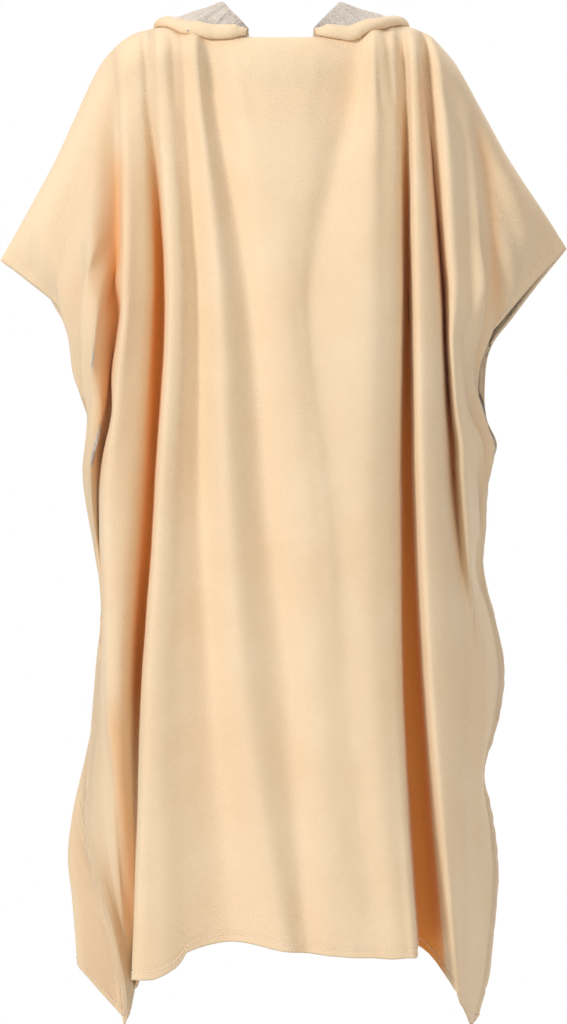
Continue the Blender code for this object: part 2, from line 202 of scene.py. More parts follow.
THREADS = {
    Way.FRONT: (
        Thread("sleeve_outer", -301, None, -252, -230, -221, -184, None, 46, 26, 12, 0, 1162),
        Thread("sleeve_inner", -247, -233, -225, -224, -217, -181, 42, 74, 46, 28, -5, 1154),
        Thread("arm_valley", -206, -198, -195, -216, -212, -180, 60, 48, 36, 42, -14, 1148),
        Thread("arm_ridge", -193, -186, -183, -205, -203, -179, 80, 112, 94, 80, -23, 1142),
        Thread("arm_soft", -178, -172, -169, -186, -190, -178, 84, 105, 94, 84, -30, 1136),
        Thread("left_lip", -170, -164, -154, -168, -180, -176, 85, 92, 82, 72, -26, 1130),
        Thread("left_floor", -164, -158, -146, -158, -173, -174, 82, 74, 64, 52, -14, 1124),
        Thread("left_valley", -159, -153, -139, -151, -167, -172, 82, 70, 60, 48, 6, 1118),
        Thread("left_ridge", -150, -143, -129, -142, -157, -171, 92, 125, 122, 122, 122, 1101),
        Thread("left_crest", -141, -134, -118, -129, -140, -145, 94, 125, 122, 124, 128, 1099),
        Thread("left_slope", -129, -122, -108, -112, -112, -104, 89, 115, 110, 111, 110, 1078),
        Thread("left_hollow", -118, -112, -97, -93, -80, -57, 86, 108, 102, 100, 99, 1069),
        Thread("chest_ridge", -103, -96, -71, -61, -42, 3, 99, 135, 132, 132, 130, 1077),
        Thread("neck_crease", -86, -80, -39, -20, 5, 31, 85, 116, 113, 117, 119, 1080),
        Thread("neck_corner", -37, -44, -14, 8, 32, 56, 97, 130, 129, 131, 130, 1082),
        Thread("middle", 0, -2, 6, 28, 48, 72, 99, 133, 134, 135, 133, 1083),
        Thread("neck_corner_r", 37, 40, 23, 46, 64, 88, 97, 130, 133, 134, 134, 1084),
        Thread("neck_crease_r", 88, 83, 41, 64, 80, 106, 85, 126, 131, 133, 135, 1084),
        Thread("chest_ridge_r", 109, 109, 100, 100, 108, 130, 103, 136, 135, 136, 137, 1085),
        Thread("right_soft", 120, 121, 121, 121, 126, 146, 97, 129, 127, 130, 134, 1084),
        Thread("right_lip", 131, 133, 136, 134, 138, 157, 92, 118, 116, 121, 130, 1084),
        Thread("right_floor", 137, 141, 144, 142, 146, 165, 84, 84, 76, 72, 52, 1080),
        Thread("right_valley", 142, 147, 151, 153, 163, 184, 81, 74, 68, 64, 44, 1100),
        Thread("right_ridge", 150, 154, 158, 163, 175, 206, 97, 122, 120, 122, 92, 1128),
        Thread("right_crest", 156, 160, 169, 174, 187, 211, 97, 120, 117, 118, 86, 1140),
        Thread("side_soft", 162, 166, 182, 190, 204, 215, 88, 107, 101, 104, 72, 1148),
        Thread("side_valley", 167, 172, 192, 206, 223, 219, 78, 64, 56, 86, 58, 1156),
        Thread("side_ridge", 178, 190, 200, 215, 240, 222, 91, 106, 84, 62, 42, 1164),
        Thread("side_fold", 198, 210, 222, 228, 251, 225, 72, 92, 56, 34, 26, 1174),
        Thread("sleeve_inner_r", 216, 222, 239, 235, 257, 227, 62, 82, 32, 15, 12, 1178),
        Thread("sleeve_outer_r", 299, None, 270, 242, 261, 228, None, 46, 14, 5, 5, 1180),
    ),
    Way.BACK: (
        Thread("flap", -316, None, -266, -235, -222, -241, None, 26, 16, 14, 3, 1110),
        Thread("arm", -262, -240, -240, -224, -214, -226, 34, 64, 54, 48, 62, 1120),
        Thread("arm_valley", -212, -205, -197, -191, -185, -186, 56, 60, 50, 60, 88, 1134),
        Thread("side_ridge", -190, -186, -176, -167, -158, -152, 72, 110, 108, 110, 118, 1106),
        Thread("side_soft", -150, -146, -136, -127, -118, -112, 84, 118, 113, 115, 118, 1086),
        Thread("swell", -108, -104, -98, -91, -80, -70, 92, 125, 123, 127, 131, 1084),
        Thread("hollow", -62, -60, -54, -50, -44, -34, 96, 124, 116, 115, 114, 1080),
        Thread("neck_corner", -37, -36, -32, -30, -23, -14, 98, 125, 119, 119, 120, 1079),
        Thread("middle", 2, 0, -2, 0, 8, 16, 99, 128, 127, 129, 133, 1078),
        Thread("neck_corner_r", 37, 36, 31, 32, 38, 46, 98, 125, 121, 120, 119, 1079),
        Thread("hollow_r", 62, 60, 55, 55, 59, 67, 96, 124, 118, 116, 112, 1080),
        Thread("swell_r", 106, 103, 97, 97, 102, 110, 92, 126, 125, 129, 132, 1085),
        Thread("side_soft_r", 148, 145, 140, 140, 148, 156, 84, 116, 110, 110, 112, 1092),
        Thread("side_ridge_r", 184, 182, 180, 184, 194, 192, 72, 108, 106, 108, 100, 1106),
        Thread("arm_valley_r", 206, 202, 206, 212, 226, 214, 54, 58, 52, 52, 60, 1128),
        Thread("arm_r", 262, 236, 246, 240, 250, 228, 32, 62, 42, 26, 30, 1156),
        Thread("side_r", 318, None, 276, 246, 264, 233, None, 26, 14, 8, 6, 1176),
    ),
}

HOOD_ROWS = (
    HoodRow(39, -73, 1, 42, -79, -6, 0.00),
    HoodRow(48, -68, 13, 64, -84, -8, 0.00),
    HoodRow(60, -50, 28, 90, -80, -8, 0.00),
    HoodRow(67, -26, 38, 114, -66, -4, 0.00),
    HoodRow(69, -2, 43, 134, -38, 6, 0.00),
    HoodRow(68, 18, 40, 148, 4, 19, 0.00),
    HoodRow(60, 42, 32, 151, 52, 9, 0.00),
    HoodRow(48, 60, 25, 138, 100, -14, 0.28),
    HoodRow(28, 73, 18, 88, 148, -42, 0.76),
    HoodRow(0, 80, 14, 0, 172, -60, 1.00),
)

# The seams, in metres. They are drawn closer here than between the frame's solids.
WALL = 0.002
SHOULDER_GAP = 0.0003
CROWN_GAP = 0.0003
SIDE_GAP = 0.0001
HEM_DEPTH = 0.011

# The neck opening, the roll over the shoulder and the arm slits, in metres.
NECK_EDGE = 0.0375
NECK_HALF_WIDTH = 0.115
NECK_HALF_DEPTH = 0.072
NECK_HEIGHT = -0.008
SHOULDER_ROLL = 0.050
SLIT_FOOT = 0.505
SLIT_OPEN = 0.017
SLIT_BACK_OUT = {Side.LEFT: 0.001, Side.RIGHT: 0.012}
GAPE_ROUNDNESS = 0.8

# The loft: the depths that the threads' columns stand for, and the share of a side's waves that each
# thread takes, from the outermost one inwards.
LEVELS = (0.072, 0.312, 0.552, 0.792)
SWAY = (1.0, 0.8, 0.4, 0.15, 0.05)
SAMPLES = (0.1, 0.3, 0.5, 0.7, 0.9)
PANEL_LENGTH = 1.06
SHOULDER_HELD = 0.12
NARROWEST_STRIP = 0.006

# The left part of the front's hem hangs lower, from a step in it.
HEM_STEP = 0.010
HEM_STEP_X = -0.119
HEM_STEP_RUN = 0.006
HEM_STEP_START = 0.80

# Where shade is painted into the folds: how far away a fold's ridges may be, how far below them the
# painted shade starts and ends to, and how far from the shoulder line's plane open cloth stands.
PAINTED_SHADE_REACH = 0.060
PAINTED_SHADE_START = 0.010
PAINTED_SHADE_END = 0.040
OPEN_CLOTH = 0.100
FOLDED_CLOTH = 0.082

# The cut, laid flat: (width, length) of each panel.
FRONT_CUT = (1.0, 1.12)
BACK_CUT = (0.9, 1.12)


# ---------------------------------------------------------------------------------------------------
# Curves and cloth grids.
# ---------------------------------------------------------------------------------------------------


def between(knots: Sequence[float], values: np.ndarray, at: np.ndarray) -> np.ndarray:
    """Reads the smooth curve through values at knots; it holds its end values.

    Args:
        knots: Rising places, one for each value.
        values: One number or one point for each knot.
        at: The places to read.

    Returns:
        One number or point for each place.
    """
    knots = np.asarray(knots, float)
    values = np.asarray(values, float)
    at = np.clip(np.atleast_1d(np.asarray(at, float)), knots[0], knots[-1])
    low = np.maximum(np.arange(len(knots)) - 1, 0)
    high = np.minimum(np.arange(len(knots)) + 1, len(knots) - 1)
    shape = (-1,) + (1,) * (values.ndim - 1)
    slopes = (values[high] - values[low]) / (knots[high] - knots[low]).reshape(shape)
    i = np.clip(np.searchsorted(knots, at, side="right") - 1, 0, len(knots) - 2)
    span = (knots[i + 1] - knots[i]).reshape(shape)
    share = (at - knots[i]).reshape(shape) / span
    square, cube = share**2, share**3
    return (
        values[i] * (2 * cube - 3 * square + 1)
        + slopes[i] * span * (cube - 2 * square + share)
        + values[i + 1] * (3 * square - 2 * cube)
        + slopes[i + 1] * span * (cube - square)
    )


def number_between(knots: Sequence[float], values: Sequence[float], at: float) -> float:
    """Reads one number of the smooth curve through values at knots."""
    return float(between(knots, np.array(values), np.array([at]))[0])


def run_along(line: np.ndarray) -> np.ndarray:
    """How far along a line each of its points is."""
    return np.concatenate([[0], np.cumsum(np.linalg.norm(np.diff(line, axis=0), axis=1))])


def smooth_step(low: float, high: float, at: np.ndarray) -> np.ndarray:
    """Rises softly from 0 at low to 1 at high."""
    share = np.clip((np.asarray(at) - low) / (high - low), 0.0, 1.0)
    return share * share * (3 - 2 * share)


def shoulder_point(x: float) -> tuple[float, float]:
    """Finds the shoulder line or neck opening at a distance across.

    Args:
        x: The place across, in metres.

    Returns:
        How far it stands from the shoulder line, and its height.
    """
    table = SHOULDERS[Side.LEFT if x < 0 else Side.RIGHT]
    out = abs(x)
    if out >= NECK_HALF_WIDTH:
        heights = [p.height * MM for p in table]
        return 0.0, number_between([p.out * MM for p in table], heights, out)
    if out <= NECK_EDGE:
        return NECK_HALF_DEPTH, NECK_HEIGHT
    turn = (out - NECK_EDGE) / (NECK_HALF_WIDTH - NECK_EDGE)
    rise = (table[0].height * MM - NECK_HEIGHT) * turn
    return NECK_HALF_DEPTH * math.sqrt(1 - turn * turn), NECK_HEIGHT + rise


@dataclass
class SideLine:
    """The side of a panel, from the sleeve's tip along the slit and the side seam to the corner.

    Attributes:
        side: Which side of the garment.
        way: Which panel.
    """

    side: Side
    way: Way

    def __post_init__(self) -> None:
        """Reads the side's table in metres."""
        rows = SIDES[self.side]
        self.depths = [p.depth * MM for p in rows]
        self.outs = np.array([p.out * MM for p in rows])
        self.forwards = np.array([p.forward * MM for p in rows])
        self.calm_depths = [self.depths[0], *LEVELS[1:], self.depths[-1]]
        self.calm_outs = between(self.depths, self.outs, np.array(self.calm_depths))

    def wave(self, depths: np.ndarray) -> np.ndarray:
        """How far across the side stands from its calm line at each depth."""
        calm = between(self.calm_depths, self.calm_outs, depths)
        return self.side.value * (between(self.depths, self.outs, depths) - calm)

    def forward(self, depths: np.ndarray) -> np.ndarray:
        """How far forward of the shoulder line the side is at each depth."""
        return between(self.depths, self.forwards, depths)

    def at(self, shares: np.ndarray) -> np.ndarray:
        """Finds the side's points.

        Args:
            shares: Shares of the way from the sleeve's tip to the corner.

        Returns:
            One point for each share.
        """
        depths = self.depths[0] + shares * (self.depths[-1] - self.depths[0])
        down_slit = np.clip((depths - self.depths[0]) / (SLIT_FOOT - self.depths[0]), 0.0, 1.0)
        gape = np.maximum(np.sin(math.pi * down_slit), 0.0) ** GAPE_ROUNDNESS
        x = between(self.depths, self.outs, depths)
        y = -self.forward(depths)
        y = y + self.way.value * ((WALL + SIDE_GAP) / 2 + SLIT_OPEN * gape)
        if self.way is Way.BACK:
            x = x + gape * SLIT_BACK_OUT[self.side]
        return np.stack([self.side.value * x, y, -depths], axis=1)


@dataclass
class ThreadLine:
    """One thread of a panel.

    Attributes:
        row: The thread's row of sizes.
        way: Which panel.
        beside: The side line whose waves it follows.
        sway: Its share of those waves.
    """

    row: Thread
    way: Way
    beside: SideLine
    sway: float

    def __post_init__(self) -> None:
        """Reads the thread's row in metres."""
        row = self.row
        self.x_top = row.top * MM
        self.out_top, self.z_top = shoulder_point(self.x_top)
        self.z_foot = -row.drop * MM
        across = (row.x_yoke, row.x_chest, row.x_waist, row.x_thigh)
        out = (row.out_yoke, row.out_chest, row.out_waist, row.out_thigh)
        met = [i for i, x in enumerate(across) if x is not None]
        self.depths = [LEVELS[i] for i in met] + [-self.z_foot]
        self.outs = np.array([out[i] for i in met] + [row.out_foot]) * MM
        self.across = np.array([row.top] + [across[i] for i in met] + [row.x_foot]) * MM

    def at(self, shares: np.ndarray) -> np.ndarray:
        """Finds the thread's points.

        Args:
            shares: Shares of the way from the shoulder line to the hem.

        Returns:
            One point for each share.
        """
        z = self.z_top + shares * (self.z_foot - self.z_top)
        x = between([-self.z_top, *self.depths], self.across, -z)
        out = between(self.depths, self.outs, -z)
        left = 1 - np.minimum((self.z_top - z) / SHOULDER_ROLL, 1.0)
        roll = np.sqrt(np.maximum(1 - left * left, 0.0))
        out = self.out_top + (out - self.out_top) * roll
        x = x + self.sway * self.beside.wave(-z)
        drift = self.sway * self.beside.forward(-z) * roll
        y = self.way.value * (out + SHOULDER_GAP / 2 * (1 - roll)) - drift
        return np.stack([x, y, z], axis=1)


@dataclass
class Cloth:
    """A sheet of cloth as rows of points, with where each point lies on the cut cloth.

    Attributes:
        points: Rows by columns by 3.
        across: Where each column lies across the cut cloth.
        down: Where each row lies down the cut cloth.
        flip: Whether the outer side faces the other way round the grid.
    """

    points: np.ndarray
    across: np.ndarray
    down: np.ndarray
    flip: bool

    def normals(self) -> np.ndarray:
        """The unit normals of the cloth's outer side."""
        along = np.gradient(self.points, axis=1)
        below = np.gradient(self.points, axis=0)
        turned = np.cross(along, below)
        if self.flip:
            turned = -turned
        size = np.linalg.norm(turned, axis=2, keepdims=True)
        return turned / np.maximum(size, 1e-12)

    def moved(self, distance: np.ndarray | float) -> Cloth:
        """The cloth moved out along its normals by a distance, or by one for each point."""
        step = np.asarray(distance, float)
        if step.ndim:
            step = step[..., None]
        return Cloth(self.points + self.normals() * step, self.across, self.down, self.flip)

    def part(self, rows: slice, columns: slice) -> Cloth:
        """A block of the cloth."""
        block = self.points[rows, columns]
        return Cloth(block, self.across[columns], self.down[rows], self.flip)

    def area(self) -> float:
        """The cloth's area in square metres."""
        p = self.points
        first = np.cross(p[:-1, 1:] - p[:-1, :-1], p[1:, :-1] - p[:-1, :-1])
        second = np.cross(p[:-1, 1:] - p[1:, 1:], p[1:, :-1] - p[1:, 1:])
        sizes = np.linalg.norm(first, axis=2) + np.linalg.norm(second, axis=2)
        return float(sizes.sum() / 2)

    def painted_shade_mask(self) -> np.ndarray:
        """How deep each point lies between two ridges, from 0 on open cloth to 1 down in a fold: the mask
        of the shade painted into the folds.
        """
        out = np.abs(self.points[..., 1])
        reach = int(round(PAINTED_SHADE_REACH / max(float(np.diff(self.across).mean()), 1e-4)))
        left, right = out.copy(), out.copy()
        for shift in range(1, reach + 1):
            left[:, shift:] = np.maximum(left[:, shift:], out[:, :-shift])
            right[:, :-shift] = np.maximum(right[:, :-shift], out[:, shift:])
        deep = smooth_step(PAINTED_SHADE_START, PAINTED_SHADE_END, np.minimum(left, right) - out)
        return deep * (1 - smooth_step(FOLDED_CLOTH, OPEN_CLOTH, out))


def sheet_object(
    name: str,
    cloth: Cloth,
    wall: float,
    outer: bpy.types.Material,
    inner: bpy.types.Material,
    painted_shade_mask: np.ndarray | None = None,
) -> bpy.types.Object:
    """Makes a sheet's object, with its wall built evenly to both sides.

    Args:
        name: The piece's name.
        cloth: Its rows of points.
        wall: The cloth's thickness.
        outer: The finish of the outer side and the cut edges.
        inner: The finish of the inner side.
        painted_shade_mask: How deep each point lies in a fold, the mask of the painted fold shade, or None.

    Returns:
        The new object.
    """
    rows, columns = cloth.points.shape[:2]
    mesh = bpy.data.meshes.new(name)
    bm = bmesh.new()
    bmesh.ops.create_grid(bm, x_segments=columns - 1, y_segments=rows - 1, size=1.0)
    if cloth.flip:
        bmesh.ops.reverse_faces(bm, faces=bm.faces)
    bm.to_mesh(mesh)
    bm.free()
    mesh.vertices.foreach_set("co", cloth.points.reshape(-1).astype(np.float32))
    corner = np.empty(len(mesh.loops), np.int32)
    mesh.loops.foreach_get("vertex_index", corner)
    uv = np.stack([cloth.across[corner % columns], cloth.down[corner // columns]], axis=1)
    mesh.uv_layers.new(name="UVMap").data.foreach_set("uv", uv.reshape(-1).astype(np.float32))
    # The mask of the shade painted into the folds, from each point's depth in a fold.
    depth = mesh.attributes.new("nook", "FLOAT", "POINT")
    if painted_shade_mask is None:
        painted_shade_mask = np.zeros((rows, columns))
    depth.data.foreach_set("value", painted_shade_mask.reshape(-1).astype(np.float32))
    mesh.materials.append(outer)
    mesh.materials.append(inner)
    mesh.shade_smooth()
    mesh.update()
    obj = bpy.data.objects.new(name, mesh)
    bpy.context.scene.collection.objects.link(obj)
    solid = obj.modifiers.new("wall", "SOLIDIFY")
    solid.thickness = wall
    solid.offset = 0.0
    solid.material_offset = 1
    solid.material_offset_rim = 0
    return obj


def stand_in(obj: bpy.types.Object, slot: str, *nodes: str) -> None:
    """Sets a piece on the garment's one body, in place of the frame's nodes."""
    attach(obj, "root")
    if nodes:
        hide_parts(*nodes)
    LOG.info("%s: %d faces", obj.name, len(obj.data.polygons))


# ---------------------------------------------------------------------------------------------------
# Small forms of the cloth.
# ---------------------------------------------------------------------------------------------------


@dataclass(frozen=True)
class Crease:
    """A soft trough or ridge, placed one by one.

    Attributes:
        name: What it is.
        path: Its points, as (depth below the neck, place across), in millimetres.
        width: Half its width, in millimetres.
        height: How far it stands out, in millimetres; a trough is below 0.
        fade: How far from its ends it starts, in millimetres.
    """

    name: str
    path: tuple[tuple[float, float], ...]
    width: float
    height: float
    fade: float = 40.0

    def lift(self, cloth: Cloth) -> np.ndarray:
        """How far the crease moves each point of a cloth outwards."""
        depths = [d * MM for d, _ in self.path]
        across = np.array([x * MM for _, x in self.path])
        depth = -cloth.points[..., 2]
        centre = between(depths, across, depth.reshape(-1)).reshape(depth.shape)
        beside = (cloth.points[..., 0] - centre) / (self.width * MM)
        fade = self.fade * MM
        ends = smooth_step(depths[0] - fade / 2, depths[0] + fade / 2, depth)
        ends = ends * (1 - smooth_step(depths[-1] - fade / 2, depths[-1] + fade / 2, depth))
        return self.height * MM * np.exp(-(beside**2)) * ends


@dataclass(frozen=True)
class PaintedFoldShade:
    """A line down a fold with painted shade: a deeper orange, standing in for light that has crossed the
    cloth.

    Attributes:
        name: Which fold.
        path: Its points, as (depth below the neck, place across), in millimetres.
        width: Half its width, in millimetres.
        share: How much painted shade its middle has, from 0 to 1.
    """

    name: str
    path: tuple[tuple[float, float], ...]
    width: float
    share: float

    def painted_shade(self, cloth: Cloth) -> np.ndarray:
        """How much painted shade each point of a cloth has."""
        return Crease(self.name, self.path, self.width, self.share / MM, 60.0).lift(cloth)


@dataclass(frozen=True)
class Unevenness:
    """The slight swells that worn cloth has everywhere, longer down the cloth than across.

    Attributes:
        size: The swells' size across, in metres.
        stretch: How much longer they are down the cloth.
        height: Their height, in metres.
    """

    size: float
    stretch: float
    height: float

    def lift(self, cloth: Cloth, seed: float) -> np.ndarray:
        """How far the swells that a seed gives move each point of a cloth outwards."""
        across = cloth.across / self.size
        down = cloth.down / (self.size * self.stretch)
        return self.height * np.array(
            [[noise.noise(Vector((u, v, seed))) for u in across] for v in down]
        )


@dataclass(frozen=True)
class Puckers:
    """The small gathers that a line of stitches draws into the cloth.

    Attributes:
        pitch: The distance between gathers, in metres.
        height: Their height, in metres.
        reach: How far from the stitches they run out, in metres.
    """

    pitch: float
    height: float
    reach: float

    def lift(self, along: np.ndarray, away: np.ndarray, seed: float) -> np.ndarray:
        """How far the gathers move points outwards.

        Args:
            along: Where each row of points is along the stitches.
            away: How far each column of points is from them.
            seed: Which gathers.

        Returns:
            One lift for each point, in rows and columns.
        """
        line = np.array([noise.noise(Vector((a / self.pitch, seed, 0.0))) for a in along])
        return self.height * line[:, None] * np.exp(-((away / self.reach) ** 2))[None, :]


# Which swells and puckers each piece has, and their sizes.
FRONT_SEED = 3.0
BACK_SEED = 11.0
HOOD_SEED = 21.0
BROAD_SWELLS = Unevenness(0.070, 3.0, 0.0018)
FINE_SWELLS = Unevenness(0.022, 2.0, 0.0005)
HOOD_SWELLS = Unevenness(0.045, 1.2, 0.0030)
SIDE_PUCKERS = Puckers(0.011, 0.0016, 0.018)
HEM_PUCKERS = Puckers(0.013, 0.0012, 0.016)

FRONT_CREASES = (
    Crease("neck_gather_1", ((6, -30), (60, -26)), 3.5, -1.4, 24),
    Crease("neck_gather_2", ((6, -14), (44, -13)), 3.0, -1.2, 20),
    Crease("neck_gather_3", ((6, 3), (52, 2)), 3.5, -1.3, 22),
    Crease("neck_gather_4", ((6, 19), (46, 17)), 3.0, -1.2, 20),
    Crease("neck_gather_5", ((6, 33), (66, 28)), 4.0, -1.5, 24),
    Crease("left_fan_1", ((20, -46), (120, -26)), 7.0, -1.6, 50),
    Crease("left_fan_2", ((16, -66), (170, -46)), 8.0, -2.0, 60),
    Crease("left_fan_3", ((10, -128), (90, -124)), 5.0, -1.6, 40),
    Crease("right_fan_1", ((20, 56), (120, 40)), 7.0, -1.4, 50),
    Crease("right_pleat_1", ((10, 112), (90, 116)), 3.5, -2.2, 30),
    Crease("right_pleat_2", ((6, 124), (80, 130)), 3.0, -2.2, 30),
    Crease("right_pleat_3", ((0, 166), (110, 178)), 4.0, -2.6, 30),
    Crease("shoulder_fold", ((55, 192), (136, 212), (300, 221), (400, 226)), 8.0, -4.0, 60),
    Crease("sleeve_fold", ((110, 232), (158, 242), (250, 249), (350, 257)), 9.0, -5.0, 60),
    Crease("sleeve_swell", ((170, 268), (280, 288)), 16.0, 4.0, 80),
    Crease("cuff_crease", ((232, -292), (290, -298)), 6.0, -3.0, 30),
    Crease("hip_fold", ((640, 232), (800, 224), (1000, 232)), 10.0, -6.0, 140),
    Crease("flap_fold", ((820, -214), (900, -200), (1040, -186)), 8.0, -4.0, 90),
    Crease("pleat_foot", ((900, -152), (1080, -146)), 14.0, -3.0, 120),
    Crease("hem_fold_right", ((880, 92), (1090, 112)), 18.0, -4.0, 160),
)

# Painted shade: folds painted a deeper orange than their depth alone makes them.
PAINTED_FOLD_SHADES = (
    PaintedFoldShade("left_arm_fold", ((150, -192), (300, -193), (420, -205), (520, -216)), 9, 0.55),
    PaintedFoldShade("left_chest_fold", ((330, -144), (560, -158), (800, -172)), 9, 0.35),
    PaintedFoldShade("flap_seam", ((800, -196), (880, -191), (960, -184), (1070, -178)), 9, 0.40),
    PaintedFoldShade("right_sleeve_fold", ((120, 234), (200, 248), (330, 256)), 8, 0.25),
    PaintedFoldShade("yoke_fold", ((50, 163), (150, 170), (300, 188)), 6, 0.30),
)

BACK_CREASES = (
    Crease("back_fold_1", ((260, -128), (980, -96)), 16.0, -8.0, 160),
    Crease("back_fold_2", ((300, -66), (1040, -52)), 14.0, -7.0, 180),
    Crease("back_fold_3", ((330, 22), (900, 28)), 18.0, -5.0, 180),
    Crease("back_fold_4", ((280, 86), (1040, 96)), 15.0, -8.0, 180),
    Crease("back_fold_5", ((240, 150), (900, 168)), 13.0, -7.0, 160),
    Crease("back_ridge_1", ((360, -8), (980, 2)), 16.0, 5.0, 180),
)


@dataclass(frozen=True)
class Stitches:
    """A line of machine stitches.

    Attributes:
        pitch: The distance between stitches, in metres.
        length: The length of one that shows, in metres.
        radius: The thread's radius, in metres.
        groove_depth: How far they draw the cloth in, in metres.
        groove_width: Half the width of the groove that they draw, in metres.
    """

    pitch: float = 0.0046
    length: float = 0.0032
    radius: float = 0.0006
    groove_depth: float = 0.0005
    groove_width: float = 0.0016

    def groove(self, away: np.ndarray) -> np.ndarray:
        """How far the stitches move the cloth at distances from their line."""
        return -self.groove_depth * np.exp(-((away / self.groove_width) ** 2))

    def sew(self, bm: bmesh.types.BMesh, line: np.ndarray, normals: np.ndarray) -> None:
        """Adds a line of stitches to a mesh.

        Args:
            bm: The mesh.
            line: The line's points, on the cloth's surface.
            normals: The cloth's outward normals there.
        """
        run = run_along(line)
        one = bmesh.new()
        bmesh.ops.create_uvsphere(one, u_segments=6, v_segments=4, radius=1.0)
        stitch = bpy.data.meshes.new("stitch")
        one.to_mesh(stitch)
        one.free()
        for place in np.arange(self.pitch / 2, run[-1], self.pitch):
            near = np.array((place - self.length / 2, place, place + self.length / 2))
            back, here, on = (Vector([np.interp(p, run, line[:, k]) for k in range(3)]) for p in near)
            up = Vector([np.interp(place, run, normals[:, k]) for k in range(3)]).normalized()
            along = (on - back).normalized()
            beside = up.cross(along).normalized()
            turn = Matrix((along, beside, along.cross(beside))).transposed().to_4x4()
            size = Matrix.Diagonal((self.length / 2, self.radius, self.radius, 1.0))
            place_at = Matrix.Translation(here) @ turn @ size
            stitch.transform(place_at)
            bm.from_mesh(stitch)
            stitch.transform(place_at.inverted())
        bpy.data.meshes.remove(stitch)


def stitch_object(name: str, bm: bmesh.types.BMesh, thread: bpy.types.Material) -> bpy.types.Object:
    """Makes the object of sewn stitches from their mesh, which it frees."""
    mesh = bpy.data.meshes.new(name)
    bm.to_mesh(mesh)
    bm.free()
    mesh.materials.append(thread)
    mesh.shade_smooth()
    obj = bpy.data.objects.new(name, mesh)
    bpy.context.scene.collection.objects.link(obj)
    stand_in(obj, "apricot_hem")
    return obj


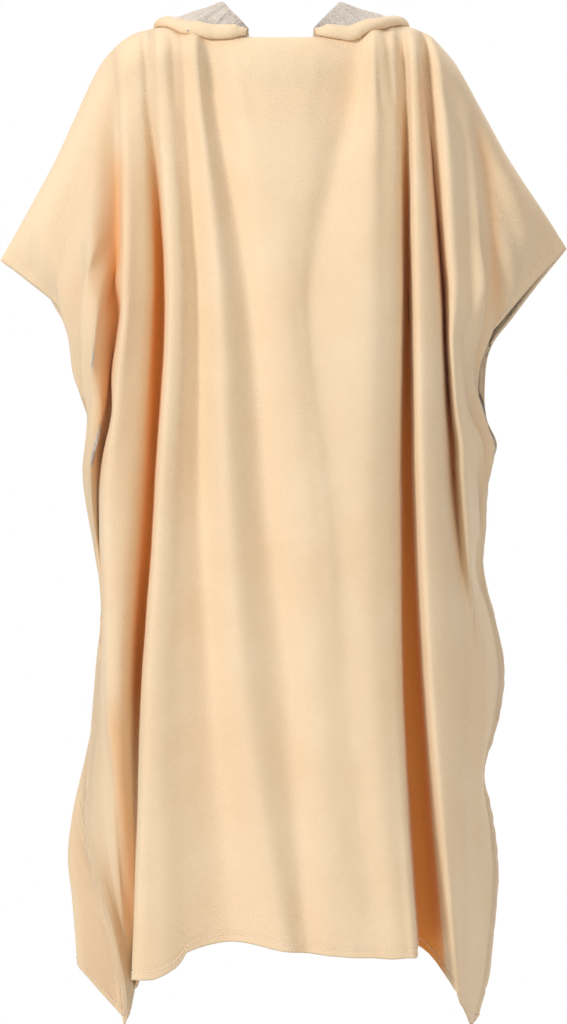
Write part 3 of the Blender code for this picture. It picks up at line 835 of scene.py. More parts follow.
@dataclass
class Panel:
    """The front or back panel, with its turned edges and its lines of stitches.

    Attributes:
        name: The panel's node in the frame.
        way: Which panel.
        columns: How many columns the sheet has.
        rows: How many rows the sheet has.
        cut: Its width and length laid flat, in metres; not used.
        seed: Which swells and puckers it has.
        creases: The creases laid on it.
        painted_fold_shades: The folds whose painted shade is deeper than their depth makes it.
        hem_wall: The thickness of the turned edges.
        hem_gap: The gap between them and the panel.
        hem_pitch: The distance between rows or columns on them.
        roll_rows: How many rows the roll over the shoulder has.
        neck_rows: How many rows the turned neck edge has.
        slit_hem_row: The row where the slits' turned edges start.
        slit_hem_end: How far above the slits' feet they end.
        calm_top: How far down from the top edge the creases and swells grow.
        calm_side: How far in from each side they grow.
        calm_edge: How far in from each side its puckers grow.
        pucker_line: Where the side puckers are highest, in depths of the hem from the side.
        groove_line: Where the side's stitches draw their groove, in the same.
        stitch_drop: How far below the turned hem's upper edge its stitches run.
        stitch_row: The row where the side stitches start.
        stitch_column: The column that they run down, counted from the side.
        tack_columns: Where the stitches across a slit's foot end, counted from the side.
        stitches: The panel's stitches.
        pieces: Its turned edges and stitches, once they are built.
        body: Its sheet, once it is built.
        cloth: The sheet's points, once they are worked out.
    """

    name: str
    way: Way
    columns: int
    rows: int
    cut: tuple[float, float]
    seed: float
    creases: tuple[Crease, ...]
    painted_fold_shades: tuple[PaintedFoldShade, ...] = ()
    hem_wall: float = 0.0014
    hem_gap: float = 0.0004
    hem_pitch: float = 0.0022
    roll_rows: int = 14
    neck_rows: int = 8
    slit_hem_row: int = 3
    slit_hem_end: float = 0.055
    calm_top: float = 0.020
    calm_side: float = 0.012
    calm_edge: float = 0.004
    pucker_line: float = 1.2
    groove_line: float = 0.75
    stitch_drop: float = 0.0012
    stitch_row: int = 6
    stitch_column: int = 4
    tack_columns: int = 8
    stitches: Stitches = Stitches()
    pieces: list[bpy.types.Object] = field(default_factory=list)
    body: bpy.types.Object | None = None
    cloth: Cloth | None = None

    def lines(self) -> list[SideLine | ThreadLine]:
        """The lines that the panel is lofted across, from its left side to its right."""
        left = SideLine(Side.LEFT, self.way)
        right = SideLine(Side.RIGHT, self.way)
        threads = THREADS[self.way]
        inner = []
        for i, row in enumerate(threads):
            steps_in = min(i, len(threads) - 1 - i)
            sway = SWAY[steps_in] if steps_in < len(SWAY) else 0.0
            inner.append(ThreadLine(row, self.way, left if row.top < 0 else right, sway))
        return [left, *inner, right]

    def row_shares(self) -> np.ndarray:
        """The rows' shares of the way down, close together over the shoulder and at the hem."""
        turns = np.linspace(0, math.pi / 2, self.roll_rows, endpoint=False)
        roll = SHOULDER_ROLL * (1 - np.cos(turns)) / PANEL_LENGTH
        hem = int(math.ceil(2 * HEM_DEPTH / self.hem_pitch))
        foot = 1 - np.linspace(2 * HEM_DEPTH, 0, hem + 1) / PANEL_LENGTH
        between_them = self.rows - self.roll_rows - hem + 1
        middle = np.linspace(SHOULDER_ROLL / PANEL_LENGTH, foot[0], between_them)
        return np.concatenate([roll, middle[:-1], foot])

    def loft(self) -> Cloth:
        """The smooth sheet, as the frame's solid has it."""
        lines = self.lines()
        tested = [line.at(np.array(SAMPLES)) for line in lines]
        places = [0.0]
        for left, right in zip(tested, tested[1:]):
            reach = float(np.linalg.norm(right - left, axis=1).mean())
            places.append(places[-1] + max(reach, NARROWEST_STRIP))
        end = places[-1]
        rim = int(math.ceil(2 * HEM_DEPTH / self.hem_pitch))
        edge = np.linspace(0, 2 * HEM_DEPTH, rim + 1)
        middle = np.linspace(edge[-1], end - edge[-1], self.columns - 2 * rim)
        columns = np.concatenate([edge[:-1], middle, (end - edge[::-1])[1:]])
        shares = self.row_shares()
        met = np.stack([line.at(shares) for line in lines])
        points = np.stack([between(places, met[:, r], columns) for r in range(len(shares))])
        line = np.array([shoulder_point(x)[1] for x in points[0, :, 0]])
        held = (1 - smooth_step(0.0, SHOULDER_HELD, shares))[:, None]
        points[..., 2] += held * (line - points[0, :, 2])[None, :]
        if self.way is Way.FRONT:
            low = smooth_step(HEM_STEP_X + HEM_STEP_RUN, HEM_STEP_X, points[..., 0])
            low = low * smooth_step(HEM_STEP_START, 1.0, shares)[:, None]
            points[..., 2] -= HEM_STEP * low
        down = shares * PANEL_LENGTH
        return Cloth(points, columns, down, self.way is Way.FRONT)

    def creased(self, cloth: Cloth) -> Cloth:
        """The sheet with its creases, swells and puckers."""
        lift = np.zeros(cloth.points.shape[:2])
        for crease in self.creases:
            lift += crease.lift(cloth)
        lift += BROAD_SWELLS.lift(cloth, self.seed)
        lift += FINE_SWELLS.lift(cloth, self.seed + 1)
        from_sides = (cloth.across, cloth.across[-1] - cloth.across)
        calm = smooth_step(0.0, self.calm_top, cloth.down)[:, None]
        for away in from_sides:
            calm = calm * smooth_step(0.0, self.calm_side, away)[None, :]
        lift *= calm
        for away in from_sides:
            from_line = np.abs(away - self.pucker_line * HEM_DEPTH)
            slim = smooth_step(0.0, self.calm_edge, away)[None, :]
            lift += SIDE_PUCKERS.lift(cloth.down, from_line, self.seed + 2) * slim
        from_hem = np.abs(cloth.down[-1] - cloth.down - HEM_DEPTH)
        lift += HEM_PUCKERS.lift(cloth.across, from_hem, self.seed + 3).T
        return cloth.moved(lift)

    def grooved(self, cloth: Cloth) -> Cloth:
        """The sheet with the shallow grooves that its lines of stitches draw."""
        from_hem = np.abs(cloth.down[-1] - cloth.down - HEM_DEPTH)
        lift = np.repeat(self.stitches.groove(from_hem)[:, None], len(cloth.across), axis=1)
        for away in (cloth.across, cloth.across[-1] - cloth.across):
            lift += self.stitches.groove(np.abs(away - self.groove_line * HEM_DEPTH))[None, :]
        return cloth.moved(lift)

    def sewn(self, cloth: Cloth, thread: bpy.types.Material) -> bpy.types.Object:
        """The stitches along the hem, up both sides and across the foot of each slit."""
        outside = cloth.moved(WALL / 2 + self.stitches.radius / 2)
        normals = outside.normals()
        bm = bmesh.new()
        hem = int(np.searchsorted(cloth.down, cloth.down[-1] - HEM_DEPTH + self.stitch_drop))
        along = slice(self.stitch_column, -self.stitch_column)
        self.stitches.sew(bm, outside.points[hem, along], normals[hem, along])
        foot = int(np.searchsorted(-cloth.points[:, 0, 2], SLIT_FOOT))
        last = len(cloth.across) - 1
        columns = (self.stitch_column, last - self.stitch_column)
        tacks = (range(1, self.tack_columns), range(last + 1 - self.tack_columns, last))
        down = slice(self.stitch_row, hem)
        for column, tack in zip(columns, tacks):
            self.stitches.sew(bm, outside.points[down, column], normals[down, column])
            for row in (foot - 1, foot):
                self.stitches.sew(bm, outside.points[row, tack], normals[row, tack])
        return stitch_object(f"{self.name}_stitches", bm, thread)

    def build(
        self, face: bpy.types.Material, pile: bpy.types.Material, thread: bpy.types.Material
    ) -> Cloth:
        """Builds the panel, its turned edges and its stitches.

        Args:
            face: The apricot face's finish.
            pile: The looped inner side's finish.
            thread: The stitches' finish.

        Returns:
            The panel's cloth.
        """
        cloth = self.grooved(self.creased(self.loft()))
        self.cloth = cloth
        # Painted shade: the folds' depth mask, deepened along the folds listed for it.
        painted_shade_mask = cloth.painted_shade_mask()
        for fold in self.painted_fold_shades:
            painted_shade_mask = painted_shade_mask + fold.painted_shade(cloth) * (1 - painted_shade_mask)
        self.body = sheet_object(f"{self.name}_cloth", cloth, WALL, face, pile, painted_shade_mask)
        stand_in(self.body, "apricot_face", self.name)
        inward = cloth.moved(-((WALL + self.hem_wall) / 2 + self.hem_gap))
        rim = int(math.ceil(HEM_DEPTH / self.hem_pitch)) + 1
        total = len(cloth.down)
        slit_end = int(np.searchsorted(-cloth.points[:, 0, 2], SLIT_FOOT - self.slit_hem_end))
        slit = slice(self.slit_hem_row, slit_end)
        strips = {
            "hem": (slice(total - rim, total), slice(rim, len(cloth.across) - rim)),
            "slit_hem_left": (slit, slice(0, rim)),
            "slit_hem_right": (slit, slice(len(cloth.across) - rim, None)),
        }
        if self.way is Way.FRONT:
            neck = np.nonzero(np.abs(cloth.points[0, :, 0]) < NECK_EDGE)[0]
            across = slice(int(neck[0]), int(neck[-1]) + 1)
            strips["neck_hem"] = (slice(0, self.neck_rows), across)
        part = self.name.split("_")[0]
        for strip, (rows, columns) in strips.items():
            node = f"{part}_{strip}"
            obj = sheet_object(f"{node}_fold", inward.part(rows, columns), self.hem_wall, face, face)
            stand_in(obj, "apricot_hem", node)
            self.pieces.append(obj)
        self.pieces.append(self.sewn(cloth, thread))
        return cloth


def eased(line: np.ndarray, rounds: int) -> np.ndarray:
    """A line of points or normals drawn smooth, with its ends left where they are."""
    for _ in range(rounds):
        line = np.concatenate([line[:1], (line[:-2] + 2 * line[1:-1] + line[2:]) / 4, line[-1:]])
    return line


# The section of the hood's rolled hem, as (in from the edge, up from the cloth), in millimetres.
HEM_ROLL = (
    (16.0, 2.5),
    (15.2, 3.7),
    (13.0, 4.6),
    (10.0, 5.4),
    (6.5, 5.8),
    (3.0, 5.4),
    (0.0, 4.2),
    (-2.2, 2.2),
    (-3.0, -0.2),
    (-2.0, -2.2),
    (1.0, -3.2),
    (5.0, -3.3),
    (9.0, -3.0),
)


@dataclass
class Hood:
    """Half of the hood, from the neck seam over the roll to the face edge.

    Attributes:
        side: Which half.
        stations: How many stations it has from the front corner of the neck to the back.
        columns: How many columns it has from the neck seam to the face edge.
        wall: The cloth's thickness, with its pile.
        hem_wall: The turned edge's thickness.
        seam_rise: How far above the shoulder line the neck seam is.
        front_rest: How far off the front panel it rests.
        back_rest: How far off the back panel it rests.
        crown: How far it swells up between the roll and the face edge.
        bag_depth: How deep its bag hangs at the back.
        bag_full: How far the bag's outer side stands behind its inner one.
        rim_depth: How wide the strip of closer columns at the face edge is.
        most_rim: The largest share of a station that this strip takes.
        rim_columns: How many columns the strip has.
        rise_steps: How many steps go up from the neck seam to the roll.
        curve_steps: How many steps go from the roll to the face edge.
        settle_rounds: How often a station is drawn smooth over what it lies on.
        round_rounds: How often the whole station is drawn smooth.
        ease_rounds: How often the face edge is drawn smooth before it is rolled.
        edge_columns: How many columns of the half give the roll its slope.
        full_length: The length of a station from which its roll is full.
        least_roll: The smallest roll, as a share of the full one.
        seam_calm: Where the swells start and are full, away from the neck seam.
        edge_calm: The same away from the face edge.
        crown_calm: The same away from the crown seam.
        corner_calm: The same away from the front corner.
        stitch_column: The column of the roll that the stitches run on.
        stitch_margin: How many stations from either end they start.
        stitches: The half's stitches.
        pieces: Its turned edge and stitches, once they are built.
        body: Its sheet, once it is built.
        cloth: The sheet's points, once they are worked out.
    """

    side: Side
    stations: int = 132
    columns: int = 96
    wall: float = 0.0028
    hem_wall: float = 0.0016
    seam_rise: float = 0.0024
    front_rest: float = 0.0058
    back_rest: float = 0.0095
    crown: float = 0.004
    bag_depth: float = 0.250
    bag_full: float = 0.032
    rim_depth: float = 0.014
    most_rim: float = 0.45
    rim_columns: int = 7
    rise_steps: int = 10
    curve_steps: int = 56
    settle_rounds: int = 14
    round_rounds: int = 10
    ease_rounds: int = 24
    edge_columns: int = 10
    full_length: float = 0.045
    least_roll: float = 0.45
    seam_calm: tuple[float, float] = (0.0, 0.020)
    edge_calm: tuple[float, float] = (0.008, 0.035)
    crown_calm: tuple[float, float] = (0.0, 0.020)
    corner_calm: tuple[float, float] = (0.020, 0.070)
    stitch_column: int = 2
    stitch_margin: int = 3
    stitches: Stitches = Stitches(0.0040, 0.0026, 0.0004)
    pieces: list[bpy.types.Object] = field(default_factory=list)
    body: bpy.types.Object | None = None
    cloth: Cloth | None = None

    def clear_of(self, point: Vector, tree: BVHTree) -> Vector:
        """The point, moved off the panel that it would touch or lie in."""
        place, outward, _, _ = tree.find_nearest(point)
        rest = self.front_rest if point.y < 0 else self.back_rest
        height = (point - place).dot(outward)
        return point if height > rest else place + outward * rest

    def back_of(self, point: Vector, tree: BVHTree) -> float:
        """How far behind the shoulder line a point clears the panels at its height."""
        hit = tree.ray_cast(Vector((point.x, 1.0, point.z)), Vector((0, -1, 0)))[0]
        return point.y if hit is None else hit.y + self.back_rest

    def settled(self, curve: list[Vector], tree: BVHTree) -> list[Vector]:
        """A line of points drawn smooth over what it lies on, with its ends left where they are."""
        for _ in range(self.settle_rounds):
            triples = zip(curve, curve[1:], curve[2:])
            middle = [self.clear_of((a + b * 2 + c) / 4, tree) for a, b, c in triples]
            curve = [curve[0], *middle, self.clear_of(curve[-1], tree)]
        return curve

    def spaced(self, points: list[Vector]) -> np.ndarray:
        """A point for each column evenly along a line of points, closer together at its end."""
        line = np.array(points)
        run = run_along(line)
        rim = min(self.rim_depth, self.most_rim * run[-1])
        edge = rim * np.arange(1, self.rim_columns + 1) / self.rim_columns
        places = np.linspace(0, run[-1] - rim, self.columns - self.rim_columns)
        places = np.concatenate([places, run[-1] - rim + edge])
        return np.stack([np.interp(places, run, line[:, k]) for k in range(3)], axis=1)

    def station(self, share: float, tree: BVHTree) -> np.ndarray:
        """The points of one station.

        Args:
            share: The station's share of the way round the neck.
            tree: The panels' surfaces.

        Returns:
            The station's points from the neck seam to the face edge.
        """
        side = self.side.value
        knots = np.linspace(0, 1, len(HOOD_ROWS))
        row = HoodRow(*between(knots, np.array(HOOD_ROWS) * MM, np.array([share]))[0])
        roll = Vector((side * row.roll_x, row.roll_y, row.roll_z))
        edge = Vector((side * row.edge_x, row.edge_y, row.edge_z))
        bag = self.bag_depth * max(row.bag / MM, 0.0)
        turn = math.pi * share
        neck_x = side * NECK_HALF_WIDTH * math.sin(turn)
        if share < 0.5:
            neck_x = side * (NECK_EDGE + (NECK_HALF_WIDTH - NECK_EDGE) * math.sin(turn))
        forward, height = shoulder_point(neck_x)
        neck = Vector((neck_x, -forward if share < 0.5 else forward, height + self.seam_rise))
        curve = []
        for k in range(self.curve_steps + 1):
            angle = math.pi * k / self.curve_steps
            part = (1 - math.cos(angle)) / 2
            point = roll.lerp(edge, part)
            point.z += (self.crown - bag) * math.sin(angle)
            if bag > 0:
                point.y = max(point.y, self.back_of(point, tree) + self.bag_full * part)
            curve.append(self.clear_of(point, tree))
        curve = self.settled(curve, tree)
        rise = [neck.lerp(curve[0], k / self.rise_steps) for k in range(self.rise_steps)]
        whole = rise + curve
        for _ in range(self.round_rounds):
            triples = zip(whole, whole[1:], whole[2:])
            middle = [(a + b * 2 + c) / 4 for a, b, c in triples]
            whole = [whole[0], *middle, whole[-1]]
        points = self.spaced(whole)
        points[:, 0] += side * CROWN_GAP / 2 * share
        return points

    def edge_roll(self, cloth: Cloth) -> Cloth:
        """The turned hem round the face edge: a soft roll, smoothed along its length.

        Args:
            cloth: The half's cloth.

        Returns:
            The roll's cloth, from its stitched edge on the pile round to the other side.
        """
        edge = eased(cloth.points[:, -1], self.ease_rounds)
        inner = eased(cloth.points[:, -self.edge_columns], self.ease_rounds)
        up = -eased(cloth.normals()[:, -self.edge_columns :].mean(axis=1), self.ease_rounds)
        inward = inner - edge
        inward /= np.linalg.norm(inward, axis=1, keepdims=True)
        up -= inward * (up * inward).sum(axis=1, keepdims=True)
        up /= np.linalg.norm(up, axis=1, keepdims=True)
        length = np.linalg.norm(np.diff(cloth.points, axis=1), axis=2).sum(axis=1)
        size = np.clip(length / self.full_length, self.least_roll, 1.0)[:, None, None]
        section = np.array(HEM_ROLL) * MM
        points = (
            edge[:, None]
            + size * inward[:, None] * section[None, :, :1]
            + size * up[:, None] * section[None, :, 1:]
        )
        return Cloth(points, run_along(section), cloth.down, not cloth.flip)

    def uneven(self, cloth: Cloth) -> Cloth:
        """The half with its swells, which die out at its seams, its front corner and its face edge."""
        lift = HOOD_SWELLS.lift(cloth, HOOD_SEED + self.side.value)
        lift *= smooth_step(*self.seam_calm, cloth.across)[None, :]
        lift *= smooth_step(*self.edge_calm, cloth.across[-1] - cloth.across)[None, :]
        lift *= smooth_step(*self.crown_calm, cloth.down[-1] - cloth.down)[:, None]
        lift *= smooth_step(*self.corner_calm, cloth.down)[:, None]
        return cloth.moved(lift)

    def build(
        self,
        tree: BVHTree,
        face: bpy.types.Material,
        pile: bpy.types.Material,
        thread: bpy.types.Material,
    ) -> None:
        """Builds the half, its turned edge and its stitches.

        Args:
            tree: The panels' surfaces, which the half lies on.
            face: The apricot face's finish.
            pile: The looped inner side's finish.
            thread: The stitches' finish.
        """
        shares = np.linspace(0, 1, self.stations)
        points = np.stack([self.station(s, tree) for s in shares])
        run = np.linalg.norm(np.diff(points, axis=1), axis=2).mean(axis=0)
        across = np.concatenate([[0], np.cumsum(run)])
        steps = np.linalg.norm(np.diff(points, axis=0), axis=2).mean(axis=1)
        down = np.concatenate([[0], np.cumsum(steps)])
        self.cloth = self.uneven(Cloth(points, across, down, self.side is Side.RIGHT))
        name = self.side.name.lower()
        self.body = sheet_object(f"hood_{name}_cloth", self.cloth, self.wall, face, pile)
        stand_in(self.body, "cream_pile", f"hood_{name}")
        roll = self.edge_roll(self.cloth)
        edge = sheet_object(f"hood_{name}_edge", roll, self.hem_wall, face, face)
        stand_in(edge, "apricot_hem", f"hood_hem_{name}")
        self.pieces.append(edge)
        outside = roll.moved(self.hem_wall / 2 + self.stitches.radius / 2)
        bm = bmesh.new()
        along = slice(self.stitch_margin, -self.stitch_margin)
        normals = outside.normals()[along, self.stitch_column]
        self.stitches.sew(bm, outside.points[along, self.stitch_column], normals)
        self.pieces.append(stitch_object(f"hood_{name}_stitches", bm, thread))


# ---------------------------------------------------------------------------------------------------
# Finishes.
# ---------------------------------------------------------------------------------------------------

# The weave: how its ribs wander, how its stitches slant, and how much each part adds to its height.
WANDER_SCALE = 90.0
WANDER_REACH = 2.2
STITCH_SLANT = 0.6
STITCH_SHARE = 0.6
RIB_HEIGHT = 0.22
GRAIN_SCALE = 900.0
GRAIN_HEIGHT = 0.9

# What every cloth's loose fibres have in common.
SHEEN_ROUGHNESS = 0.5
SHEEN_TINT = (1.0, 0.93, 0.84, 1.0)
SPECULAR_LEVEL = 0.15

# The sockets of a colour mix: its two colours and its result.
MIX_FIRST = 6
MIX_SECOND = 7
MIX_RESULT = 2


class NodeSheet:
    """Places and joins the nodes of one tree."""

    def __init__(self, tree: bpy.types.NodeTree) -> None:
        """Takes the tree to work on."""
        self.tree = tree

    def add(self, kind: str, **settings: object) -> bpy.types.Node:
        """Adds a node of a kind, with its settings."""
        made = self.tree.nodes.new(kind)
        for name, value in settings.items():
            setattr(made, name, value)
        return made

    def join(self, source: bpy.types.NodeSocket, target: bpy.types.NodeSocket) -> None:
        """Joins one socket to another."""
        self.tree.links.new(source, target)

    def math(self, operation: str, first: object, second: object = 0.0) -> bpy.types.NodeSocket:
        """Adds a math node and gives its value.

        Args:
            operation: What it works out.
            first: A socket or a number.
            second: A socket or a number.

        Returns:
            The socket of the result.
        """
        made = self.add("ShaderNodeMath", operation=operation)
        for socket, value in zip(made.inputs, (first, second)):
            if isinstance(value, bpy.types.NodeSocket):
                self.join(value, socket)
            else:
                socket.default_value = float(value)
        return made.outputs["Value"]


def shared_group(
    name: str,
    inputs: Sequence[tuple[str, str, object]],
    outputs: Sequence[tuple[str, str]],
    fill: Callable[[NodeSheet, bpy.types.Node, bpy.types.Node], None],
) -> bpy.types.NodeTree:
    """Makes a shader node group once, and gives it again after that.

    Args:
        name: The group's name.
        inputs: Each input's name, kind and value.
        outputs: Each output's name and kind.
        fill: Adds the group's nodes between its input and output nodes.

    Returns:
        The group.
    """
    if name in bpy.data.node_groups:
        return bpy.data.node_groups[name]
    group = bpy.data.node_groups.new(name, "ShaderNodeTree")
    for label, kind, value in inputs:
        socket = group.interface.new_socket(name=label, in_out="INPUT", socket_type=kind)
        if value is not None:
            socket.default_value = value
    for label, kind in outputs:
        group.interface.new_socket(name=label, in_out="OUTPUT", socket_type=kind)
    nodes = NodeSheet(group)
    fill(nodes, nodes.add("NodeGroupInput"), nodes.add("NodeGroupOutput"))
    return group


def fill_weave(nodes: NodeSheet, given: bpy.types.Node, result: bpy.types.Node) -> None:
    """Cross ribs with small slanting stitches between them, and a little unevenness."""
    parts = nodes.add("ShaderNodeSeparateXYZ")
    nodes.join(given.outputs["Place"], parts.inputs["Vector"])
    wander = nodes.add("ShaderNodeTexNoise", noise_dimensions="3D")
    wander.inputs["Scale"].default_value = WANDER_SCALE
    wander.inputs["Detail"].default_value = 2.0
    nodes.join(given.outputs["Place"], wander.inputs["Vector"])
    shift = nodes.math("MULTIPLY", wander.outputs["Fac"], WANDER_REACH)
    ribs = nodes.math("MULTIPLY", parts.outputs["Y"], given.outputs["Ribs"])
    wave = nodes.math("SINE", nodes.math("ADD", ribs, shift))
    lean = nodes.math("MULTIPLY", parts.outputs["Y"], STITCH_SLANT)
    slant = nodes.math("ADD", parts.outputs["X"], lean)
    twill = nodes.math("SINE", nodes.math("MULTIPLY", slant, given.outputs["Twill"]))
    both = nodes.math("ADD", wave, nodes.math("MULTIPLY", twill, STITCH_SHARE))
    grain = nodes.add("ShaderNodeTexNoise", noise_dimensions="3D")
    grain.inputs["Scale"].default_value = GRAIN_SCALE
    grain.inputs["Detail"].default_value = 1.0
    nodes.join(given.outputs["Place"], grain.inputs["Vector"])
    height = nodes.math("MULTIPLY", both, RIB_HEIGHT)
    rough = nodes.math("MULTIPLY", grain.outputs["Fac"], GRAIN_HEIGHT)
    nodes.join(nodes.math("ADD", height, rough), result.inputs["Height"])
    nodes.join(grain.outputs["Fac"], result.inputs["Grain"])


def weave_group() -> bpy.types.NodeTree:
    """The woven face's shared pattern."""
    return shared_group(
        "towel_weave",
        (
            ("Place", "NodeSocketVector", None),
            ("Ribs", "NodeSocketFloat", 2617.0),
            ("Twill", "NodeSocketFloat", 3306.0),
        ),
        (("Height", "NodeSocketFloat"), ("Grain", "NodeSocketFloat")),
        fill_weave,
    )


def fill_mottle(nodes: NodeSheet, given: bpy.types.Node, result: bpy.types.Node) -> None:
    """A slow change of shade over the cloth."""
    slow = nodes.add("ShaderNodeTexNoise", noise_dimensions="3D")
    slow.inputs["Detail"].default_value = 3.0
    nodes.join(given.outputs["Scale"], slow.inputs["Scale"])
    nodes.join(given.outputs["Place"], slow.inputs["Vector"])
    spread = nodes.add("ShaderNodeMapRange")
    spread.inputs["From Min"].default_value = 0.3
    spread.inputs["From Max"].default_value = 0.7
    nodes.join(slow.outputs["Fac"], spread.inputs["Value"])
    nodes.join(spread.outputs["Result"], result.inputs["Share"])


def mottle_group() -> bpy.types.NodeTree:
    """The slow change of shade that all the cloth shares."""
    return shared_group(
        "cloth_mottle",
        (("Place", "NodeSocketVector", None), ("Scale", "NodeSocketFloat", 9.0)),
        (("Share", "NodeSocketFloat"),),
        fill_mottle,
    )


@dataclass(frozen=True)
class Finish:
    """What every cloth finish has.

    Attributes:
        name: The finish's name.
        colour: Its main colour.
        shade: The colour it drifts to.
        roughness: How matt it is.
        sheen: How much its loose fibres catch the light.
    """

    name: str
    colour: Colour
    shade: Colour
    roughness: float
    sheen: float

    def start(self) -> tuple[bpy.types.Material, NodeSheet, bpy.types.Node]:
        """Makes the material, with its shader's plain settings, and gives its nodes and shader too."""
        material = bpy.data.materials.new(self.name)
        material.use_nodes = True
        nodes = NodeSheet(material.node_tree)
        shader = material.node_tree.nodes["Principled BSDF"]
        shader.inputs["Roughness"].default_value = self.roughness
        shader.inputs["Sheen Weight"].default_value = self.sheen
        shader.inputs["Sheen Roughness"].default_value = SHEEN_ROUGHNESS
        shader.inputs["Sheen Tint"].default_value = SHEEN_TINT
        shader.inputs["Specular IOR Level"].default_value = SPECULAR_LEVEL
        return material, nodes, shader

    def mix(
        self, nodes: NodeSheet, share: bpy.types.NodeSocket, first: object, second: object
    ) -> bpy.types.NodeSocket:
        """Mixes two colours or colour sockets by a share.

        Args:
            nodes: The material's nodes.
            share: How much of the second colour there is.
            first: A colour or a socket.
            second: A colour or a socket.

        Returns:
            The socket of the mixed colour.
        """
        made = nodes.add("ShaderNodeMix", data_type="RGBA")
        nodes.join(share, made.inputs["Factor"])
        for place, value in ((MIX_FIRST, first), (MIX_SECOND, second)):
            if isinstance(value, bpy.types.NodeSocket):
                nodes.join(value, made.inputs[place])
            else:
                made.inputs[place].default_value = (*value, 1.0)
        return made.outputs[MIX_RESULT]

    def mottled(
        self, nodes: NodeSheet, place: bpy.types.NodeSocket, scale: float
    ) -> bpy.types.NodeSocket:
        """Lets the main colour drift slowly to the shade.

        Args:
            nodes: The material's nodes.
            place: Where on the surface a point is.
            scale: How fine the drift is.

        Returns:
            The socket of the colour.
        """
        mottle = nodes.add("ShaderNodeGroup", node_tree=mottle_group())
        mottle.inputs["Scale"].default_value = scale
        nodes.join(place, mottle.inputs["Place"])
        return self.mix(nodes, mottle.outputs["Share"], self.colour, self.shade)

    def raised(
        self, nodes: NodeSheet, height: bpy.types.NodeSocket, reach: float, strength: float
    ) -> bpy.types.NodeSocket:
        """Raises the surface by a height, and gives the socket of its normal."""
        bump = nodes.add("ShaderNodeBump")
        bump.inputs["Strength"].default_value = strength
        bump.inputs["Distance"].default_value = reach
        nodes.join(height, bump.inputs["Height"])
        return bump.outputs["Normal"]


@dataclass(frozen=True)
class WovenFace(Finish):
    """The smooth outer face: fine cross ribs, with shade painted in a deep orange down in the folds.

    Attributes:
        nook: The colour of the shade painted at the bottom of the folds.
        painted_fold_shade_share: How much of that painted shade the deepest point has.
        drift: How fine its changes of shade are.
        grain_share: How much of its shade the grain shows.
        bump: The height of the weave, in metres.
        strength: How strongly the weave shows.
    """

    nook: Colour = (0.82, 0.33, 0.06)
    painted_fold_shade_share: float = 0.92
    drift: float = 9.0
    grain_share: float = 0.35
    bump: float = 0.0005
    strength: float = 0.8

    def make(self) -> bpy.types.Material:
        """Makes the material."""
        material, nodes, shader = self.start()
        place = nodes.add("ShaderNodeUVMap", uv_map="UVMap")
        weave = nodes.add("ShaderNodeGroup", node_tree=weave_group())
        nodes.join(place.outputs["UV"], weave.inputs["Place"])
        colour = self.mottled(nodes, place.outputs["UV"], self.drift)
        fine = nodes.math("MULTIPLY", weave.outputs["Grain"], self.grain_share)
        colour = self.mix(nodes, fine, colour, self.shade)
        # Painted shade: the fold-depth mask mixes the colour to a deep orange down in the folds.
        depth = nodes.add("ShaderNodeAttribute", attribute_name="nook")
        share = nodes.math("MULTIPLY", depth.outputs["Fac"], self.painted_fold_shade_share)
        colour = self.mix(nodes, share, colour, self.nook)
        nodes.join(colour, shader.inputs["Base Color"])
        normal = self.raised(nodes, weave.outputs["Height"], self.bump, self.strength)
        nodes.join(normal, shader.inputs["Normal"])
        return material


@dataclass(frozen=True)
class LoopedPile(Finish):
    """The looped inner side.

    Attributes:
        loop: The size of a loop, in metres.
        tuft: The scale of its tufts, as a share of the loops' scale.
        tuft_detail: How finely the tufts break up.
        drift: How fine its changes of shade are.
        gap_share: How much of its shade the gaps between loops show.
        bump: The height of the loops, in metres.
        strength: How strongly the loops show.
    """

    loop: float = 0.0026
    tuft: float = 0.4
    tuft_detail: float = 4.0
    drift: float = 60.0
    gap_share: float = 0.6
    bump: float = 0.0016
    strength: float = 1.0

    def make(self) -> bpy.types.Material:
        """Makes the material."""
        material, nodes, shader = self.start()
        place = nodes.add("ShaderNodeUVMap", uv_map="UVMap")
        loops = nodes.add("ShaderNodeTexVoronoi", voronoi_dimensions="3D")
        loops.inputs["Scale"].default_value = 1 / self.loop
        nodes.join(place.outputs["UV"], loops.inputs["Vector"])
        tufts = nodes.add("ShaderNodeTexNoise", noise_dimensions="3D")
        tufts.inputs["Scale"].default_value = self.tuft / self.loop
        tufts.inputs["Detail"].default_value = self.tuft_detail
        nodes.join(place.outputs["UV"], tufts.inputs["Vector"])
        colour = self.mottled(nodes, place.outputs["UV"], self.drift)
        gaps = nodes.math("MULTIPLY", loops.outputs["Distance"], self.gap_share)
        colour = self.mix(nodes, gaps, colour, self.shade)
        nodes.join(colour, shader.inputs["Base Color"])
        height = nodes.math("SUBTRACT", tufts.outputs["Fac"], loops.outputs["Distance"])
        nodes.join(self.raised(nodes, height, self.bump, self.strength), shader.inputs["Normal"])
        return material


@dataclass(frozen=True)
class PlainMatt(Finish):
    """A plain matt finish: the sewing thread's and the floor's.

    Attributes:
        drift: How fine its changes of shade are.
    """

    drift: float = 40.0

    def make(self) -> bpy.types.Material:
        """Makes the material."""
        material, nodes, shader = self.start()
        place = nodes.add("ShaderNodeTexCoord")
        colour = self.mottled(nodes, place.outputs["Object"], self.drift)
        nodes.join(colour, shader.inputs["Base Color"])
        return material


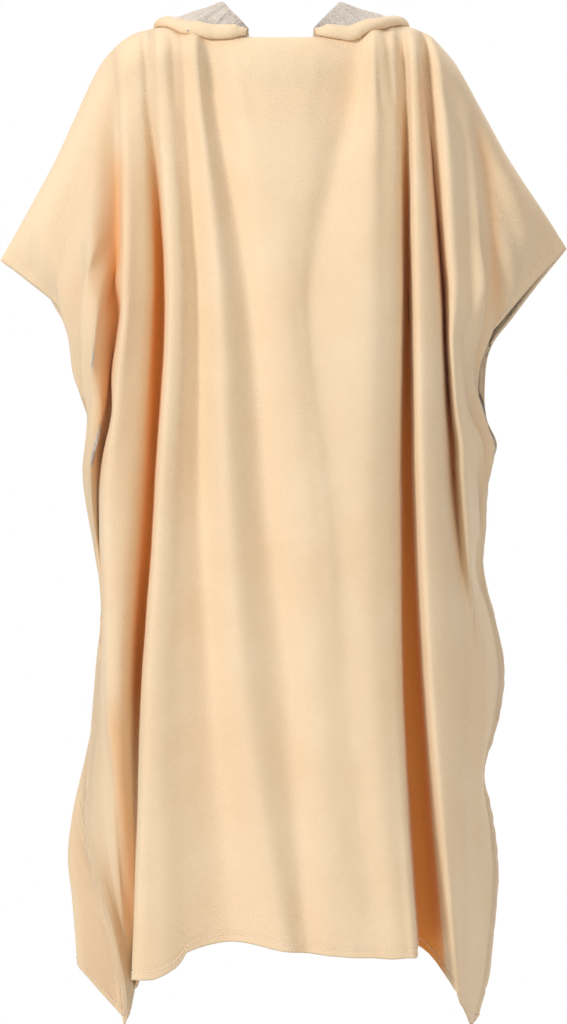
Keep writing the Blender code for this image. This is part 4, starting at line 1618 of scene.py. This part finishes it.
THREAD = PlainMatt("stitch_thread", (0.93, 0.78, 0.66), (0.90, 0.72, 0.60), 0.7, 0.3)
APRICOT = WovenFace("apricot_face", (0.87, 0.69, 0.475), (0.83, 0.62, 0.40), 0.9, 0.25)
PILE = LoopedPile("cream_pile", (0.78, 0.71, 0.64), (0.66, 0.57, 0.49), 0.95, 0.4)
FLOOR = PlainMatt("pale_floor", (0.82, 0.82, 0.81), (0.80, 0.80, 0.79), 0.8, 0.0, 1.2)


# ---------------------------------------------------------------------------------------------------
# The studio.
# ---------------------------------------------------------------------------------------------------


@dataclass
class SoftLight:
    """A large soft light.

    Attributes:
        name: The light's name.
        place: Where it stands.
        size: The side of its square.
        power: Its power, in watts.
        colour: Its colour.
    """

    name: str
    place: tuple[float, float, float]
    size: float
    power: float
    colour: Colour = (1.0, 1.0, 1.0)

    def build(self, target: Vector) -> None:
        """Sets the light up, turned to a target."""
        data = bpy.data.lights.new(self.name, "AREA")
        data.size = self.size
        data.energy = self.power
        data.color = self.colour
        obj = bpy.data.objects.new(self.name, data)
        obj.location = self.place
        way = target - Vector(self.place)
        obj.rotation_euler = way.to_track_quat("-Z", "Y").to_euler()
        bpy.context.scene.collection.objects.link(obj)


LIGHTS = (
    SoftLight("key", (-2.85, -2.6, 1.4), 1.1, 118.0, (1.0, 0.985, 0.965)),
    SoftLight("fill", (2.2, -3.4, 0.3), 2.2, 30.0, (1.0, 0.985, 0.97)),
    SoftLight("top", (0.2, 0.4, 2.2), 2.0, 22.0),
    SoftLight("rear", (1.6, 3.2, 0.8), 2.2, 55.0),
)


@dataclass
class Studio:
    """The camera, the lights, the white surroundings and the pale floor.

    Attributes:
        camera_place: Where the camera stands.
        lens: Its focal length in millimetres.
        sensor: The side of its square sensor in millimetres.
        view_reach: How far it sees.
        light_target: Where the lights point.
        floor_height: The height of the floor under the wearer's feet.
        floor_radius: The floor's radius.
        floor_sides: How many sides its round edge has.
        ambient: How strongly the surroundings light the cloth.
    """

    camera_place: tuple[float, float, float] = (0.003, -4.0, -0.5664)
    lens: float = 117.19
    sensor: float = 36.0
    view_reach: float = 50.0
    light_target: tuple[float, float, float] = (0.0, 0.0, -0.55)
    floor_height: float = -1.46
    floor_radius: float = 1.55
    floor_sides: int = 96
    ambient: float = 0.46

    def camera(self) -> None:
        """Sets the camera up, level, in front of the garment."""
        data = bpy.data.cameras.new("camera")
        data.sensor_fit = "VERTICAL"
        data.sensor_height = self.sensor
        data.sensor_width = self.sensor
        data.lens = self.lens
        data.clip_end = self.view_reach
        obj = bpy.data.objects.new("camera", data)
        obj.location = self.camera_place
        obj.rotation_euler = (math.pi / 2, 0.0, 0.0)
        bpy.context.scene.collection.objects.link(obj)
        bpy.context.scene.camera = obj

    def lights(self) -> None:
        """Sets the lights up: a soft key from the upper left, and weaker ones round the garment."""
        for light in LIGHTS:
            light.build(Vector(self.light_target))

    def surroundings(self) -> None:
        """Sets a white background up, with less light than its brightness shows."""
        world = bpy.data.worlds.new("studio")
        world.use_nodes = True
        nodes = NodeSheet(world.node_tree)
        plain = world.node_tree.nodes["Background"]
        plain.inputs["Color"].default_value = (1.0, 0.99, 0.98, 1.0)
        plain.inputs["Strength"].default_value = self.ambient
        seen = nodes.add("ShaderNodeBackground")
        seen.inputs["Color"].default_value = (1.0, 1.0, 1.0, 1.0)
        seen.inputs["Strength"].default_value = 1.0
        path = nodes.add("ShaderNodeLightPath")
        either = nodes.add("ShaderNodeMixShader")
        nodes.join(path.outputs["Is Camera Ray"], either.inputs["Fac"])
        nodes.join(plain.outputs["Background"], either.inputs[1])
        nodes.join(seen.outputs["Background"], either.inputs[2])
        nodes.join(either.outputs["Shader"], world.node_tree.nodes["World Output"].inputs["Surface"])
        bpy.context.scene.world = world

    def floor(self) -> None:
        """Lays the pale floor."""
        mesh = bpy.data.meshes.new("floor")
        bm = bmesh.new()
        sides = self.floor_sides
        bmesh.ops.create_circle(bm, cap_ends=True, segments=sides, radius=self.floor_radius)
        bmesh.ops.translate(bm, verts=bm.verts, vec=(0.0, 0.0, self.floor_height))
        bm.to_mesh(mesh)
        bm.free()
        mesh.materials.append(FLOOR.make())
        obj = bpy.data.objects.new("floor", mesh)
        bpy.context.scene.collection.objects.link(obj)

    def build(self) -> None:
        """Sets the whole studio up."""
        self.camera()
        self.lights()
        self.surroundings()
        self.floor()
        bpy.context.scene.view_settings.view_transform = "Standard"


TREE_STEP = 3


def surface_tree(cloths: Sequence[Cloth]) -> BVHTree:
    """A search tree of the panels' middle surfaces, thinned out, whose normals point out."""
    points: list[Vector] = []
    faces: list[tuple[int, int, int, int]] = []
    for cloth in cloths:
        thin = cloth.points[::TREE_STEP, ::TREE_STEP]
        rows, columns = thin.shape[:2]
        start = len(points)
        points += [Vector(p) for p in thin.reshape(-1, 3)]
        for r in range(rows - 1):
            for c in range(columns - 1):
                a = start + r * columns + c
                ring = (a, a + 1, a + columns + 1, a + columns)
                faces.append(ring[::-1] if cloth.flip else ring)
    return BVHTree.FromPolygons(points, faces)


def declare(panels: Sequence[Panel], hoods: Sequence[Hood]) -> None:
    """Logs every sheet of cloth, with the area of cloth that it shows."""
    for item in (*panels, *hoods):
        LOG.info("%s shows %.3f square metres of cloth", item.body.name, item.cloth.area())


def main() -> None:
    """Builds the poncho, from the camera to the last stitch."""
    logging.basicConfig(level=logging.INFO, format="%(name)s: %(message)s")
    Studio().build()
    face, pile, thread = APRICOT.make(), PILE.make(), THREAD.make()
    front = Panel(
        "front_panel", Way.FRONT, 260, 190, FRONT_CUT, FRONT_SEED, FRONT_CREASES, PAINTED_FOLD_SHADES
    )
    back = Panel("back_panel", Way.BACK, 200, 176, BACK_CUT, BACK_SEED, BACK_CREASES)
    cloths = [panel.build(face, pile, thread) for panel in (front, back)]
    tree = surface_tree(cloths)
    hoods = [Hood(side) for side in Side]
    for hood in hoods:
        hood.build(tree, face, pile, thread)
    declare((front, back), hoods)


if __name__ == "__main__":
    main()
